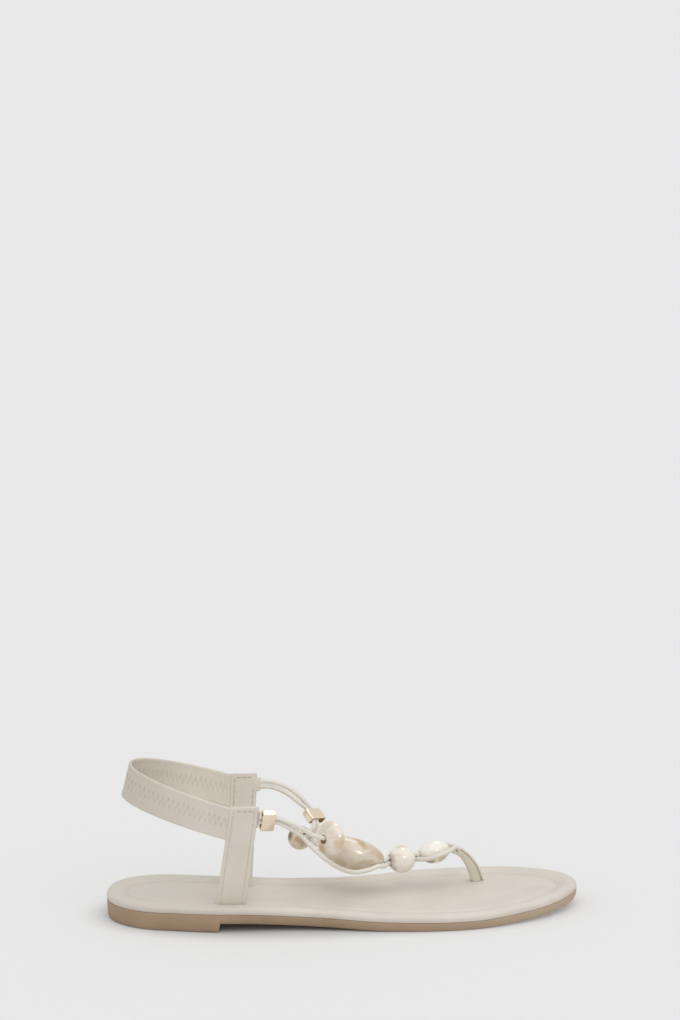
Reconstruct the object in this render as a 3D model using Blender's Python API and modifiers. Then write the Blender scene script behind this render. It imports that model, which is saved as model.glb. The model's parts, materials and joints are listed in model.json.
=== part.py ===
"""Toe post sandal for the right foot, standing empty on its sole.

Sizes are in millimetres and become metres where points are made. +X runs to the toe, +Y to the
medial side of the foot and +Z up. The origin is on the floor, under the middle of the sole.
"""
import math
from collections import namedtuple

import bpy
from mathutils import Matrix, Vector

MM = 0.001
GAP = 0.3

# Sole: outline, side profile and the section of its padded rim
SOLE_LENGTH = 250.0
SOLE_STATIONS = 44
HEEL_ROUND = 30.0
HEEL_POWER = {"lateral": 2.0, "medial": 2.5}
TOE_ROUND = {"lateral": 78.0, "medial": 60.0}
TOE_POWER = {"lateral": 1.8, "medial": 2.0}
BREAST_X = -67.2
BREAST_SLANT = 0.4
FLAT_X = (22.0, 68.0)

SideRow = namedtuple("SideRow", "x lateral medial")
SOLE_SIDES = (
    SideRow(-125.0, 24.5, 27.8),
    SideRow(-95.0, 27.8, 28.0),
    SideRow(-80.0, 31.3, 25.5),
    SideRow(-61.0, 33.6, 22.0),
    SideRow(-38.0, 33.6, 21.0),
    SideRow(-9.0, 35.4, 24.4),
    SideRow(18.0, 39.4, 31.6),
    SideRow(44.0, 41.5, 39.4),
    SideRow(72.0, 41.6, 41.6),
    SideRow(125.0, 41.6, 41.6),
)

ProfileRow = namedtuple("ProfileRow", "x top bottom")
SOLE_PROFILE = (
    ProfileRow(-125.0, 9.6, 4.6),
    ProfileRow(-66.0, 9.7, 4.5),
    ProfileRow(-22.0, 7.5, 2.4),
    ProfileRow(FLAT_X[0], 5.1, 0.0),
    ProfileRow(FLAT_X[1], 4.7, 0.0),
    ProfileRow(84.0, 5.6, 0.8),
    ProfileRow(105.0, 6.9, 2.2),
    ProfileRow(125.0, 9.2, 4.2),
)

RingRow = namedtuple("RingRow", "inset height")
OUTSOLE_FOOT = (RingRow(1.6, 0.0), RingRow(0.4, 1.3))
OUTSOLE_SHOULDER = (RingRow(0.0, -1.4), RingRow(0.2, 0.0))
FOOTBED_RINGS = (
    RingRow(0.5, GAP),
    RingRow(0.1, 0.8),
    RingRow(0.0, 1.9),
    RingRow(0.7, 3.2),
    RingRow(2.4, 4.0),
    RingRow(4.6, 4.1),
    RingRow(7.4, 3.55),
    RingRow(10.3, 2.3),
    RingRow(11.6, 2.9),
)

# Upper: two upright straps, the sling band round the heel and the toe post
Strap = namedtuple("Strap", "foot top foot_width top_width tongue_z tongue_height tongue_length")
STRAP_THICKNESS = 2.2
STRAPS = {
    "lateral": Strap((-61.3, -23.4), (-53.5, -27.5, 65.8), 15.7, 14.8, 58.8, 9.4, 1.1),
    "medial": Strap((-55.3, 6.4), (-51.3, 18.5, 70.8), 14.0, 14.0, 64.9, 7.4, 2.0),
}
TONGUE_SLOPE = -0.08
BAND_WIDTH = 17.7
BAND_THICKNESS = 1.5
BAND_STEPS = 24
BAND_REACH_TOP = 52.6
BAND_REACH_FOOT = 55.2
BAND_RISE = 17.0
POST_WIDTH = 4.6
PostRow = namedtuple("PostRow", "inner outer")
POST_ROWS = (
    PostRow((71.2, 19.4, 5.4), (78.8, 20.9, 5.4)),
    PostRow((70.3, 18.6, 9.4), (77.4, 19.9, 9.4)),
    PostRow((69.3, 17.5, 12.5), (75.5, 18.6, 14.5)),
    PostRow((67.8, 15.9, 16.4), (73.2, 16.7, 19.0)),
    PostRow((65.6, 14.2, 20.4), (70.3, 14.7, 23.1)),
    PostRow((63.2, 12.2, 23.9), (67.0, 12.4, 26.7)),
    PostRow((60.6, 9.9, 26.2), (62.6, 9.9, 30.2)),
)

# Threaded pieces: gold sleeves on the cord pairs and drilled beads
CORD_RADIUS = 1.2
CORD_STEP = 5.5
ROUND_LANES = {"lateral": (1.5, -0.9), "medial": (-1.5, -0.9), "middle": (0.0, 1.4)}
POST_LANES = {"lateral": (1.4, 0.8), "medial": (-1.4, 0.8), "middle": (0.0, -1.6)}
TONGUE_LANE = 1.35
TONGUE_LEAN = {"lateral": -0.25, "medial": 0.0}
SleeveLane = namedtuple("SleeveLane", "way_in way_out")
SLEEVE_LANES = {
    "lateral_outer": SleeveLane(-1.35, -1.35),
    "lateral_inner": SleeveLane(1.35, 1.35),
    "medial_outer": SleeveLane(1.4, -0.8),
    "medial_inner": SleeveLane(-1.4, -3.4),
}
LEAD = 2.5
SLEEVE_LENGTH = 6.9
SLEEVE_HEIGHT = 11.4
SLEEVE_DEPTH = 4.5
SLEEVE_WALL = 0.6
SLEEVE_CORNER = 0.8
Sleeve = namedtuple("Sleeve", "centre axis upright")
SLEEVES = {
    "lateral": Sleeve((-41.6, -26.4, 58.0), (0.984, 0.159, -0.077), (0.158, -0.378, 0.912)),
    "medial": Sleeve((-14.6, 11.7, 48.3), (0.47, -0.64, -0.59), (0.692, 0.694, -0.201)),
}
Bead = namedtuple("Bead", "centre axis length width bore finish")
BEADS = {
    "bead_lateral": Bead((-8.1, -16.5, 44.2), (0.79, 0.60, -0.14), 10.8, 19.0, 4.4, "pearl_resin"),
    "bead_medial": Bead((-22.1, 13.5, 35.9), (0.383, -0.864, 0.328), 12.4, 13.0, 4.0, "amber_resin"),
    "bead_oval": Bead((4.4, 3.5, 29.6), (0.964, -0.11, -0.236), 36.4, 17.2, 3.8, "sand_resin"),
    "bead_round": Bead((31.6, 4.7, 25.4), (0.982, 0.175, 0.063), 15.0, 14.6, 6.3, "ivory_resin"),
    "bead_toe": Bead((49.4, 7.5, 28.2), (0.982, 0.120, 0.138), 16.6, 12.4, 3.4, "ivory_resin"),
}
BEAD_RINGS = 9
BEAD_SIDES = 20

# Finishes: linear colour, roughness and metallic value
Finish = namedtuple("Finish", "rgb roughness metallic")
FINISHES = {
    "tan_rubber": Finish((0.32, 0.23, 0.15), 0.55, 0.0),
    "ivory_leather": Finish((0.62, 0.57, 0.50), 0.5, 0.0),
    "band_leather": Finish((0.58, 0.53, 0.46), 0.6, 0.0),
    "cream_cord": Finish((0.71, 0.68, 0.61), 0.5, 0.0),
    "pale_gold": Finish((0.80, 0.64, 0.45), 0.2, 1.0),
    "pearl_resin": Finish((0.70, 0.62, 0.51), 0.15, 0.0),
    "amber_resin": Finish((0.55, 0.46, 0.36), 0.15, 0.0),
    "sand_resin": Finish((0.58, 0.49, 0.38), 0.15, 0.0),
    "ivory_resin": Finish((0.79, 0.73, 0.62), 0.15, 0.0),
}

COLLECTION = "toe_post_sandal"
CUTTERS = "sandal_cutters"


def smooth(rows, column, x):
    """Value of a table's column at x, on a smooth curve that never swings past its rows."""
    xs = [row.x for row in rows]
    ys = [getattr(row, column) for row in rows]
    x = min(max(x, xs[0]), xs[-1])
    steps = [(ys[i + 1] - ys[i]) / (xs[i + 1] - xs[i]) for i in range(len(xs) - 1)]
    slopes = [0.0] * len(xs)
    for i in range(1, len(xs) - 1):
        if steps[i - 1] * steps[i] > 0.0:
            slopes[i] = 2.0 * steps[i - 1] * steps[i] / (steps[i - 1] + steps[i])
    slopes[0] = steps[0]
    slopes[-1] = steps[-1]
    i = max(k for k in range(len(xs) - 1) if xs[k] <= x)
    span = xs[i + 1] - xs[i]
    t = (x - xs[i]) / span
    rise = t * t * (3.0 - 2.0 * t)
    start = t * (1.0 - t) ** 2 * span * slopes[i]
    end = t * t * (1.0 - t) * span * slopes[i + 1]
    return ys[i] + (ys[i + 1] - ys[i]) * rise + start - end


def rounded_end(distance, length, power):
    """Share of the full width at a distance from a rounded end of the sole."""
    left = max(0.0, 1.0 - distance / length)
    return (1.0 - left ** power) ** (1.0 / power)


def half_width(side, x):
    """Half width of the sole on one side of its long axis."""
    heel = rounded_end(x + SOLE_LENGTH / 2.0, HEEL_ROUND, HEEL_POWER[side])
    toe = rounded_end(SOLE_LENGTH / 2.0 - x, TOE_ROUND[side], TOE_POWER[side])
    return smooth(SOLE_SIDES, side, x) * heel * toe


def sole_top(x):
    """Height of the outsole's upper face."""
    return smooth(SOLE_PROFILE, "top", x)


def sole_bottom(x):
    """Height of the outsole's underside: the heel and the forefoot stand on the floor."""
    if x < BREAST_X:
        return 0.0
    return smooth(SOLE_PROFILE, "bottom", x)


def sole_stations(special):
    """Stations along the sole, close together at its rounded ends, with the special ones among them."""
    even = [-SOLE_LENGTH / 2.0 * math.cos(math.pi * k / SOLE_STATIONS) for k in range(1, SOLE_STATIONS)]
    clear = [x for x in even if min(abs(x - s) for s in special) > 3.0]
    return sorted([*clear, *special])


def sole_ring(inset, stations):
    """Closed outline of the sole, moved inwards: heel end, lateral side, toe end, medial side."""
    lateral = [(x, -half_width("lateral", x)) for x in stations]
    medial = [(x, half_width("medial", x)) for x in reversed(stations)]
    ring = [(-SOLE_LENGTH / 2.0, 0.0)] + lateral + [(SOLE_LENGTH / 2.0, 0.0)] + medial
    moved = []
    for k, (x, y) in enumerate(ring):
        before = ring[k - 1]
        after = ring[(k + 1) % len(ring)]
        along = Vector((after[0] - before[0], after[1] - before[1])).normalized()
        moved.append((x - along.y * inset, y + along.x * inset))
    return moved


def collection(name):
    """Collection of that name, linked to the scene."""
    group = bpy.data.collections.new(name)
    bpy.context.scene.collection.children.link(group)
    return group


def finish(name):
    """Principled material for one of the finishes."""
    row = FINISHES[name]
    material = bpy.data.materials.new(name)
    material.use_nodes = True
    shader = material.node_tree.nodes["Principled BSDF"]
    shader.inputs["Base Color"].default_value = (*row.rgb, 1.0)
    shader.inputs["Roughness"].default_value = row.roughness
    shader.inputs["Metallic"].default_value = row.metallic
    return material


def add_object(name, data, group, material=None):
    """Object for a mesh or curve, with its material, in a collection."""
    part = bpy.data.objects.new(name, data)
    group.objects.link(part)
    if material:
        data.materials.append(material)
    return part


def mesh_of(name, points, faces, angle=40.0):
    """Mesh from points in millimetres, shaded smooth with sharp creases."""
    mesh = bpy.data.meshes.new(name)
    mesh.from_pydata([Vector(p) * MM for p in points], [], faces)
    mesh.shade_smooth()
    mesh.set_sharp_from_angle(angle=math.radians(angle))
    return mesh


def sole_loft(name, rings):
    """Closed solid through sole rings from its underside to its top face."""
    count = len(rings[0])
    points = [point for ring in rings for point in ring]
    faces = []
    for level in range(len(rings) - 1):
        low = level * count
        high = low + count
        for k in range(count):
            after = (k + 1) % count
            faces.append((low + k, low + after, high + after, high + k))
    top = (len(rings) - 1) * count
    side = count // 2
    for k in range(side):
        near = (k, k + 1)
        far = ((count - k) % count, count - k - 1)
        loop = [near[0], near[1], far[1], far[0]]
        loop = [v for i, v in enumerate(loop) if v not in loop[:i]]
        faces.append([top + v for v in loop])
        faces.append(loop[::-1])
    return mesh_of(name, points, faces)


def make_outsole(group, material):
    """Outsole with its low heel in one piece, a stepped heel front and a lifted toe."""
    stations = sole_stations([BREAST_X - BREAST_SLANT, BREAST_X + BREAST_SLANT, *FLAT_X])
    rings = []
    for row in OUTSOLE_FOOT:
        rings.append([(x, y, sole_bottom(x) + row.height) for x, y in sole_ring(row.inset, stations)])
    for row in OUTSOLE_SHOULDER:
        rings.append([(x, y, sole_top(x) + row.height) for x, y in sole_ring(row.inset, stations)])
    mesh = sole_loft("outsole", rings)
    return add_object("outsole", mesh, group, material)


def sheet(name, grid, thickness, extra_faces=()):
    """Object data for a sheet through rows of points, and its Solidify thickness in metres."""
    columns = len(grid[0])
    points = [point for row in grid for point in row]
    faces = []
    for r in range(len(grid) - 1):
        for c in range(columns - 1):
            a = r * columns + c
            faces.append((a, a + 1, a + columns + 1, a + columns))
    for corner_points, corners in extra_faces:
        start = len(points)
        points.extend(corner_points)
        faces.append((*corners, *range(start, start + len(corner_points))))
    return mesh_of(name, points, faces), thickness * MM


def thicken(part, thickness, bevel=0.0):
    """Give a sheet its thickness and soften its edges."""
    solid = part.modifiers.new("thickness", "SOLIDIFY")
    solid.thickness = thickness
    solid.offset = 0.0
    solid.use_even_offset = True
    if bevel:
        edge = part.modifiers.new("soft_edge", "BEVEL")
        edge.width = bevel * MM
        edge.segments = 2
        edge.limit_method = "ANGLE"
        edge.angle_limit = math.radians(50.0)


def strap_share(side, z):
    """Share of the way up a strap, from the outsole to its top, at a height."""
    strap = STRAPS[side]
    foot_z = sole_top(strap.foot[0])
    return (z - foot_z) / (strap.top[2] - foot_z)


def strap_half(side, z):
    """Half width of a strap at a height: it widens a little to its top."""
    strap = STRAPS[side]
    return (strap.foot_width + (strap.top_width - strap.foot_width) * strap_share(side, z)) / 2.0


def strap_point(side, z, across):
    """Point of a strap's middle face at a height, across its width in millimetres."""
    strap = STRAPS[side]
    point = Vector(strap.foot).lerp(Vector(strap.top[:2]), strap_share(side, z))
    return (point.x + across, point.y, z)


def strap_grid(side, levels, widen=0.0):
    """Rows of points up a strap."""
    grid = []
    for z in levels:
        half = strap_half(side, z) + widen
        grid.append([strap_point(side, z, across) for across in (-half, 0.0, half)])
    return grid


def tongue_drop(side):
    """Fall of a tongue over its length: the lateral one follows its sleeve."""
    return TONGUE_SLOPE * STRAPS[side].tongue_length if side == "lateral" else 0.0


def make_strap(group, side, material):
    """Upright strap with a short tongue at its front edge, where the cords start."""
    strap = STRAPS[side]
    foot_z = sole_top(strap.foot[0] - strap.foot_width / 2.0) + GAP
    tongue = (strap.tongue_z - strap.tongue_height / 2.0, strap.tongue_z + strap.tongue_height / 2.0)
    levels = [foot_z, 22.0, 36.0, *tongue, strap.top[2]]
    grid = strap_grid(side, levels)
    reach = Vector((strap.tongue_length, 0.0, tongue_drop(side)))
    low = levels.index(tongue[0])
    corners = (3 * low + 5, 3 * low + 2)
    ends = [tuple(Vector(grid[low][2]) + reach), tuple(Vector(grid[low + 1][2]) + reach)]
    data, thickness = sheet("strap_" + side, grid, STRAP_THICKNESS, [(ends, corners)])
    part = add_object("strap_" + side, data, group, material)
    thicken(part, thickness, bevel=0.5)
    return part


def make_band(group, material):
    """Sling band: one strip from the lateral strap round the heel to the medial strap."""
    ends = {}
    for side in STRAPS:
        strap = STRAPS[side]
        heights = (strap.top[2] - GAP, strap.top[2] - GAP - BAND_WIDTH)
        ends[side] = [Vector(strap_point(side, z, -strap_half(side, z) - GAP)) for z in heights]
    grid = []
    for k in range(BAND_STEPS + 1):
        turn = math.pi * k / BAND_STEPS
        share = (1.0 - math.cos(turn)) / 2.0
        row = []
        for edge, reach in ((0, BAND_REACH_TOP), (1, BAND_REACH_FOOT)):
            base = ends["lateral"][edge].lerp(ends["medial"][edge], share)
            row.append(tuple(base + Vector((-reach, 0.0, BAND_RISE)) * math.sin(turn)))
        middle = tuple((Vector(row[0]) + Vector(row[1])) / 2.0)
        grid.append([row[0], middle, row[1]])
    data, thickness = sheet("sling_band", grid, BAND_THICKNESS)
    part = add_object("sling_band", data, group, material)
    thicken(part, thickness, bevel=0.4)
    return part


def post_grid(rows, widen=0.0):
    """Rows of points up the toe post's side, from its inner edge to its outer edge."""
    shift = Vector((widen, 0.0, 0.0))
    return [[tuple(Vector(row.inner) - shift), tuple(Vector(row.outer) + shift)] for row in rows]


def make_post(group, material):
    """Toe post: a folded leather strap that rises from the footbed and bends back to the cords."""
    data, thickness = sheet("toe_post", post_grid(POST_ROWS), POST_WIDTH)
    part = add_object("toe_post", data, group, material)
    thicken(part, thickness, bevel=1.2)
    return part


def make_cutter(name, grid, thickness, group):
    """Wire-shown cutter for a slot through the footbed."""
    data, depth = sheet(name, grid, thickness)
    cutter = add_object(name, data, group)
    thicken(cutter, depth)
    cutter.hide_render = True
    cutter.display_type = "WIRE"
    return cutter


def make_footbed(group, cutters, material):
    """Padded footbed with a rolled rim, slotted for the straps and the toe post."""
    stations = sole_stations(FLAT_X)
    rings = []
    for row in FOOTBED_RINGS:
        rings.append([(x, y, sole_top(x) + row.height) for x, y in sole_ring(row.inset, stations)])
    part = add_object("footbed", sole_loft("footbed", rings), group, material)
    part.modifiers.new("flat_faces", "TRIANGULATE")
    slots = []
    for side in STRAPS:
        grid = strap_grid(side, (4.0, 20.0), widen=GAP)
        slots.append(make_cutter("slot_" + side, grid, STRAP_THICKNESS + 2.0 * GAP, cutters))
    low, high = post_grid(POST_ROWS[:2], widen=GAP)
    deep = [tuple(Vector(a) * 1.6 - Vector(b) * 0.6) for a, b in zip(low, high)]
    slots.append(make_cutter("slot_post", [deep, high], POST_WIDTH + 2.0 * GAP, cutters))
    for cutter in slots:
        cut = part.modifiers.new(cutter.name, "BOOLEAN")
        cut.operation = "DIFFERENCE"
        cut.solver = "EXACT"
        cut.object = cutter
    return part


def rounded_rectangle(width, height, radius, corner_steps=3):
    """Points of a rectangle with round corners, centred on the origin."""
    points = []
    for quarter in range(4):
        centre_x = (width / 2.0 - radius) * (1.0 if quarter in (0, 3) else -1.0)
        centre_y = (height / 2.0 - radius) * (1.0 if quarter in (0, 1) else -1.0)
        for step in range(corner_steps + 1):
            turn = math.pi / 2.0 * (quarter + step / corner_steps)
            points.append((centre_x + radius * math.cos(turn), centre_y + radius * math.sin(turn)))
    return points


def make_sleeve(group, side, material):
    """Gold sleeve: a rectangular tube that slides on a pair of cords."""
    sleeve = SLEEVES[side]
    curve = bpy.data.curves.new("sleeve_" + side, "CURVE")
    curve.dimensions = "2D"
    curve.fill_mode = "BOTH"
    curve.extrude = SLEEVE_LENGTH / 2.0 * MM
    inner = (SLEEVE_DEPTH - 2.0 * SLEEVE_WALL, SLEEVE_HEIGHT - 2.0 * SLEEVE_WALL)
    for depth, height, radius in ((SLEEVE_DEPTH, SLEEVE_HEIGHT, SLEEVE_CORNER), (*inner, SLEEVE_CORNER / 2.0)):
        outline = rounded_rectangle(depth, height, radius)
        spline = curve.splines.new("POLY")
        spline.points.add(len(outline) - 1)
        spline.use_cyclic_u = True
        for point, (x, y) in zip(spline.points, outline):
            point.co = (x * MM, y * MM, 0.0, 1.0)
    part = add_object("sleeve_" + side, curve, group, material)
    along, upright, depth_axis = sleeve_axes(side)
    part.matrix_world = frame_matrix(sleeve.centre, depth_axis, upright, along)
    return part


def sleeve_axes(side):
    """Unit vectors of a sleeve: along the cords, up its height and through its depth."""
    along = Vector(SLEEVES[side].axis).normalized()
    upright = Vector(SLEEVES[side].upright)
    upright = (upright - along * upright.dot(along)).normalized()
    return along, upright, upright.cross(along)


def frame_matrix(centre, x_axis, y_axis, z_axis):
    """World matrix with the given axes and centre, in metres."""
    matrix = Matrix.Identity(4)
    for column, axis in enumerate((x_axis, y_axis, z_axis)):
        matrix.col[column].xyz = axis
    matrix.translation = Vector(centre) * MM
    return matrix


def make_bead(group, name, material):
    """Drilled bead: an oval profile turned about its hole."""
    bead = BEADS[name]
    bore = bead.bore / 2.0
    edge = math.asin(bore / (bead.width / 2.0))
    points = []
    for k in range(BEAD_RINGS + 1):
        turn = edge + (math.pi - 2.0 * edge) * k / BEAD_RINGS
        points.append((bead.width / 2.0 * math.sin(turn), 0.0, bead.length / 2.0 * math.cos(turn)))
    mesh = bpy.data.meshes.new(name)
    edges = [(k, (k + 1) % len(points)) for k in range(len(points))]
    mesh.from_pydata([Vector(p) * MM for p in points], edges, [])
    part = add_object(name, mesh, group, material)
    turned = part.modifiers.new("turned", "SCREW")
    turned.axis = "Z"
    turned.steps = BEAD_SIDES
    turned.render_steps = BEAD_SIDES
    turned.use_merge_vertices = True
    turned.merge_threshold = 0.00001
    turned.use_smooth_shade = True
    part.rotation_mode = "QUATERNION"
    part.rotation_quaternion = Vector(bead.axis).to_track_quat("Z", "Y")
    part.location = Vector(bead.centre) * MM
    return part


def in_lane(centre, along, lane):
    """Point beside a cord's middle line: towards the lateral side and upwards."""
    across = along.cross(Vector((0.0, 0.0, 1.0))).normalized()
    return centre + across * lane[0] + across.cross(along) * lane[1]


def through_bead(name, lane=(0.0, 0.0)):
    """Route points straight through a bead, in a lane beside its axis."""
    bead = BEADS[name]
    along = Vector(bead.axis).normalized()
    centre = in_lane(Vector(bead.centre), along, lane)
    half = bead.length / 2.0
    return [tuple(centre + along * reach) for reach in (-half - LEAD, -half, 0.0, half, half + LEAD)]


def through_sleeve(cord):
    """Route points through a sleeve, in a cord's lanes at the way in and the way out."""
    side = cord.split("_")[0]
    along, upright, _ = sleeve_axes(side)
    centre = Vector(SLEEVES[side].centre)
    lane_in, lane_out = [upright * lane for lane in SLEEVE_LANES[cord]]
    half = SLEEVE_LENGTH / 2.0
    places = ((-half, lane_in), (half, lane_out), (half + LEAD, lane_out))
    return [tuple(centre + along * reach + lane) for reach, lane in places]


def tongue_start(side, lane):
    """Where a cord starts, just clear of a strap's tongue, in a lane up its height."""
    strap = STRAPS[side]
    reach = strap_half(side, strap.tongue_z + lane) + strap.tongue_length + GAP
    x, y, z = strap_point(side, strap.tongue_z + lane, reach)
    return (x + 0.2, y + TONGUE_LEAN[side] * lane, z + tongue_drop(side))


def post_end(lane):
    """Where a cord meets the top end of the toe post, in a lane beside its middle."""
    below, end = [(Vector(inner) + Vector(outer)) / 2.0 for inner, outer in post_grid(POST_ROWS[-2:])]
    along = (below - end).normalized()
    return [tuple(in_lane(end - along * reach, along, lane)) for reach in (LEAD, 2.0 * GAP)]


def cord_routes():
    """Hand-chosen points of each cord, from its strap to the toe post or its last bead."""
    return {
        "cord_lateral_outer": [
            tongue_start("lateral", -TONGUE_LANE),
            *through_sleeve("lateral_outer")[1:],
            (-25.0, -23.9, 49.4),
            (-18.0, -24.2, 41.8),
            (-8.9, -22.0, 33.1),
            (-0.4, -15.0, 26.3),
            (6.2, -11.5, 24.0),
            (13.5, -8.1, 24.2),
            (18.0, -5.1, 24.9),
            (21.5, -2.5, 23.9),
            *through_bead("bead_round", ROUND_LANES["lateral"])[1:4],
            (42.4, 2.4, 25.6),
            (46.0, -0.3, 26.8),
            (52.0, -0.7, 28.9),
            (56.6, 2.1, 29.7),
            *post_end(POST_LANES["lateral"]),
        ],
        "cord_lateral_inner": [
            tongue_start("lateral", TONGUE_LANE),
            *through_sleeve("lateral_inner")[1:],
            (-25.0, -24.4, 53.3),
            (-18.6, -23.0, 48.8),
            *through_bead("bead_lateral", (0.0, 0.7))[1:4],
            (-2.2, -11.1, 43.7),
            (-1.9, -8.4, 43.2),
            (-2.8, -4.4, 42.7),
            (-3.8, 0.4, 42.2),
            (-4.0, 5.0, 41.6),
            (-3.4, 9.2, 40.2),
            (-1.8, 12.6, 37.2),
            (0.6, 14.4, 33.8),
            (4.0, 14.6, 31.0),
            (11.0, 12.9, 28.2),
            (18.0, 9.6, 25.8),
            (21.2, 6.6, 24.4),
            *through_bead("bead_round", ROUND_LANES["medial"])[1:4],
            (40.9, 10.5, 26.1),
            (44.6, 14.8, 27.5),
            (51.4, 15.9, 28.9),
            (56.4, 13.4, 29.9),
            *post_end(POST_LANES["medial"]),
        ],
        "cord_medial_outer": [
            tongue_start("medial", TONGUE_LANE),
            (-37.2, 17.9, 65.9),
            (-31.8, 17.9, 64.2),
            (-26.3, 17.5, 61.3),
            (-20.8, 16.3, 56.8),
            *through_sleeve("medial_outer")[:2],
            (-13.4, 7.6, 44.2),
            (-14.6, 7.2, 41.8),
            (-15.6, 6.7, 39.3),
            (-15.8, 6.1, 36.8),
            *through_bead("bead_oval", (-0.3, 0.2))[1:4],
            *through_bead("bead_round", ROUND_LANES["middle"])[1:4],
            *through_bead("bead_toe")[1:4],
            *post_end(POST_LANES["middle"]),
        ],
        "cord_medial_inner": [
            tongue_start("medial", -TONGUE_LANE),
            (-37.6, 17.7, 63.2),
            (-32.6, 17.3, 61.6),
            (-27.6, 16.3, 59.0),
            (-22.5, 14.6, 55.1),
            *through_sleeve("medial_inner")[:2],
            (-15.5, 4.7, 44.2),
            (-17.6, 4.2, 41.2),
            *through_bead("bead_medial")[:1:-1],
        ],
    }


def smooth_route(points):
    """Points along a smooth curve through a route, about one step apart."""
    knots = [Vector(p) for p in points]
    knots = [knots[0] * 2.0 - knots[1]] + knots + [knots[-1] * 2.0 - knots[-2]]
    path = []
    for k in range(1, len(knots) - 2):
        before, start, end, after = knots[k - 1:k + 3]
        span = (end - start).length
        lead_in = (end - before) * (span / ((start - before).length + span))
        lead_out = (after - start) * (span / ((after - end).length + span))
        pieces = max(1, round(span / CORD_STEP))
        for step in range(pieces):
            t = step / pieces
            path.append(
                start * (2 * t ** 3 - 3 * t ** 2 + 1) + lead_in * (t ** 3 - 2 * t ** 2 + t)
                + end * (3 * t ** 2 - 2 * t ** 3) + lead_out * (t ** 3 - t ** 2)
            )
    return path + [knots[-2]]


def make_cord(group, name, route, material):
    """Round leather cord along its route."""
    path = smooth_route(route)
    curve = bpy.data.curves.new(name, "CURVE")
    curve.dimensions = "3D"
    curve.bevel_depth = CORD_RADIUS * MM
    curve.bevel_resolution = 2
    curve.use_fill_caps = True
    spline = curve.splines.new("POLY")
    spline.points.add(len(path) - 1)
    for point, place in zip(spline.points, path):
        point.co = (*(place * MM), 1.0)
    return add_object(name, curve, group, material)


def main():
    """Clear the scene and model every piece of the sandal."""
    for old in list(bpy.data.objects):
        bpy.data.objects.remove(old, do_unlink=True)
    group = collection(COLLECTION)
    cutters = collection(CUTTERS)
    finishes = {name: finish(name) for name in FINISHES}
    make_outsole(group, finishes["tan_rubber"])
    make_footbed(group, cutters, finishes["ivory_leather"])
    for side in STRAPS:
        make_strap(group, side, finishes["ivory_leather"])
    make_band(group, finishes["band_leather"])
    make_post(group, finishes["ivory_leather"])
    for side in SLEEVES:
        make_sleeve(group, side, finishes["pale_gold"])
    for name, bead in BEADS.items():
        make_bead(group, name, finishes[bead.finish])
    for name, route in cord_routes().items():
        make_cord(group, name, route, finishes["cream_cord"])


main()
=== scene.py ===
"""Looks of the toe post sandal for the right foot, standing empty on its sole.

Sizes are in millimetres and become metres where points are made. +X runs to the toe, +Y to the
medial side of the foot and +Z up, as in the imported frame.
"""
import json
import math
from collections import namedtuple

import bmesh
import bpy
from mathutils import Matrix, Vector, noise

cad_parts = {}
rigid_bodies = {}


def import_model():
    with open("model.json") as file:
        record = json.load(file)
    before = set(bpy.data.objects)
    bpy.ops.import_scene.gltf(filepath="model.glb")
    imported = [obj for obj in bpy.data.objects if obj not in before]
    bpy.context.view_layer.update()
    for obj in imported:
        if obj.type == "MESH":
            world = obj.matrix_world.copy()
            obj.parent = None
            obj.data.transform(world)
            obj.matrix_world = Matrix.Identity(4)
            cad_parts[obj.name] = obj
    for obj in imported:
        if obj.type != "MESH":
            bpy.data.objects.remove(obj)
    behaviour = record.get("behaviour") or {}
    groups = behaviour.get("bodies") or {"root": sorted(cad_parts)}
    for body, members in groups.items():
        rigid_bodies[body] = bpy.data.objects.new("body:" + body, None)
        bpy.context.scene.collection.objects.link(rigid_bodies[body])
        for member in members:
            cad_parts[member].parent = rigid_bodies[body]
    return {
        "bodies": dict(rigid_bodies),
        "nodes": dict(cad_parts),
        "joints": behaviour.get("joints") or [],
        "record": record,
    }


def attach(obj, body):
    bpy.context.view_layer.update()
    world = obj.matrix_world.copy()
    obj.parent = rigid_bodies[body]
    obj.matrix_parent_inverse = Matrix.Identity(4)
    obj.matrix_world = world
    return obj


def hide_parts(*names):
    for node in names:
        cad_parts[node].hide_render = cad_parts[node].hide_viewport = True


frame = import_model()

MM = 0.001
GAP = 0.3
UP = Vector((0.0, 0.0, 1.0))
WELD = 0.01
SHARP_ANGLE = 38.0
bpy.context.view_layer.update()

# Camera: the photo's angle, with the shoe where the photo has it
PHOTO_SIZE = (680, 1020)
CAMERA_ELEVATION = 17.5
CAMERA_AZIMUTH = -5.0
CAMERA_DISTANCE = 1500.0
CAMERA_TARGET = (0.0, -3.5, 35.0)
TARGET_PIXEL = (343.9, 847.8)
FOCAL_PIXELS = 2820.0
SENSOR = 36.0
SIGHT = 1000.0

# Sole: outline, side profile and sections, as the solids have them
SOLE_LENGTH = 250.0
SOLE_STATIONS = 150
HEEL_ROUND = 30.0
HEEL_POWER = {"lateral": 2.0, "medial": 2.5}
TOE_ROUND = {"lateral": 78.0, "medial": 60.0}
TOE_POWER = {"lateral": 1.8, "medial": 2.0}
BREAST_X = -67.2
BREAST_SLANT = 0.4
BREAST_ROOM = 1.0
HEEL_SPINE = 26.0
TOE_SPINE = 36.0

SideRow = namedtuple("SideRow", "x lateral medial")
SOLE_SIDES = (
    SideRow(-125.0, 24.5, 27.8),
    SideRow(-95.0, 27.8, 28.0),
    SideRow(-80.0, 31.3, 25.5),
    SideRow(-61.0, 33.6, 22.0),
    SideRow(-38.0, 33.6, 21.0),
    SideRow(-9.0, 35.4, 24.4),
    SideRow(18.0, 39.4, 31.6),
    SideRow(44.0, 41.5, 39.4),
    SideRow(72.0, 41.6, 41.6),
    SideRow(125.0, 41.6, 41.6),
)

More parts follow.
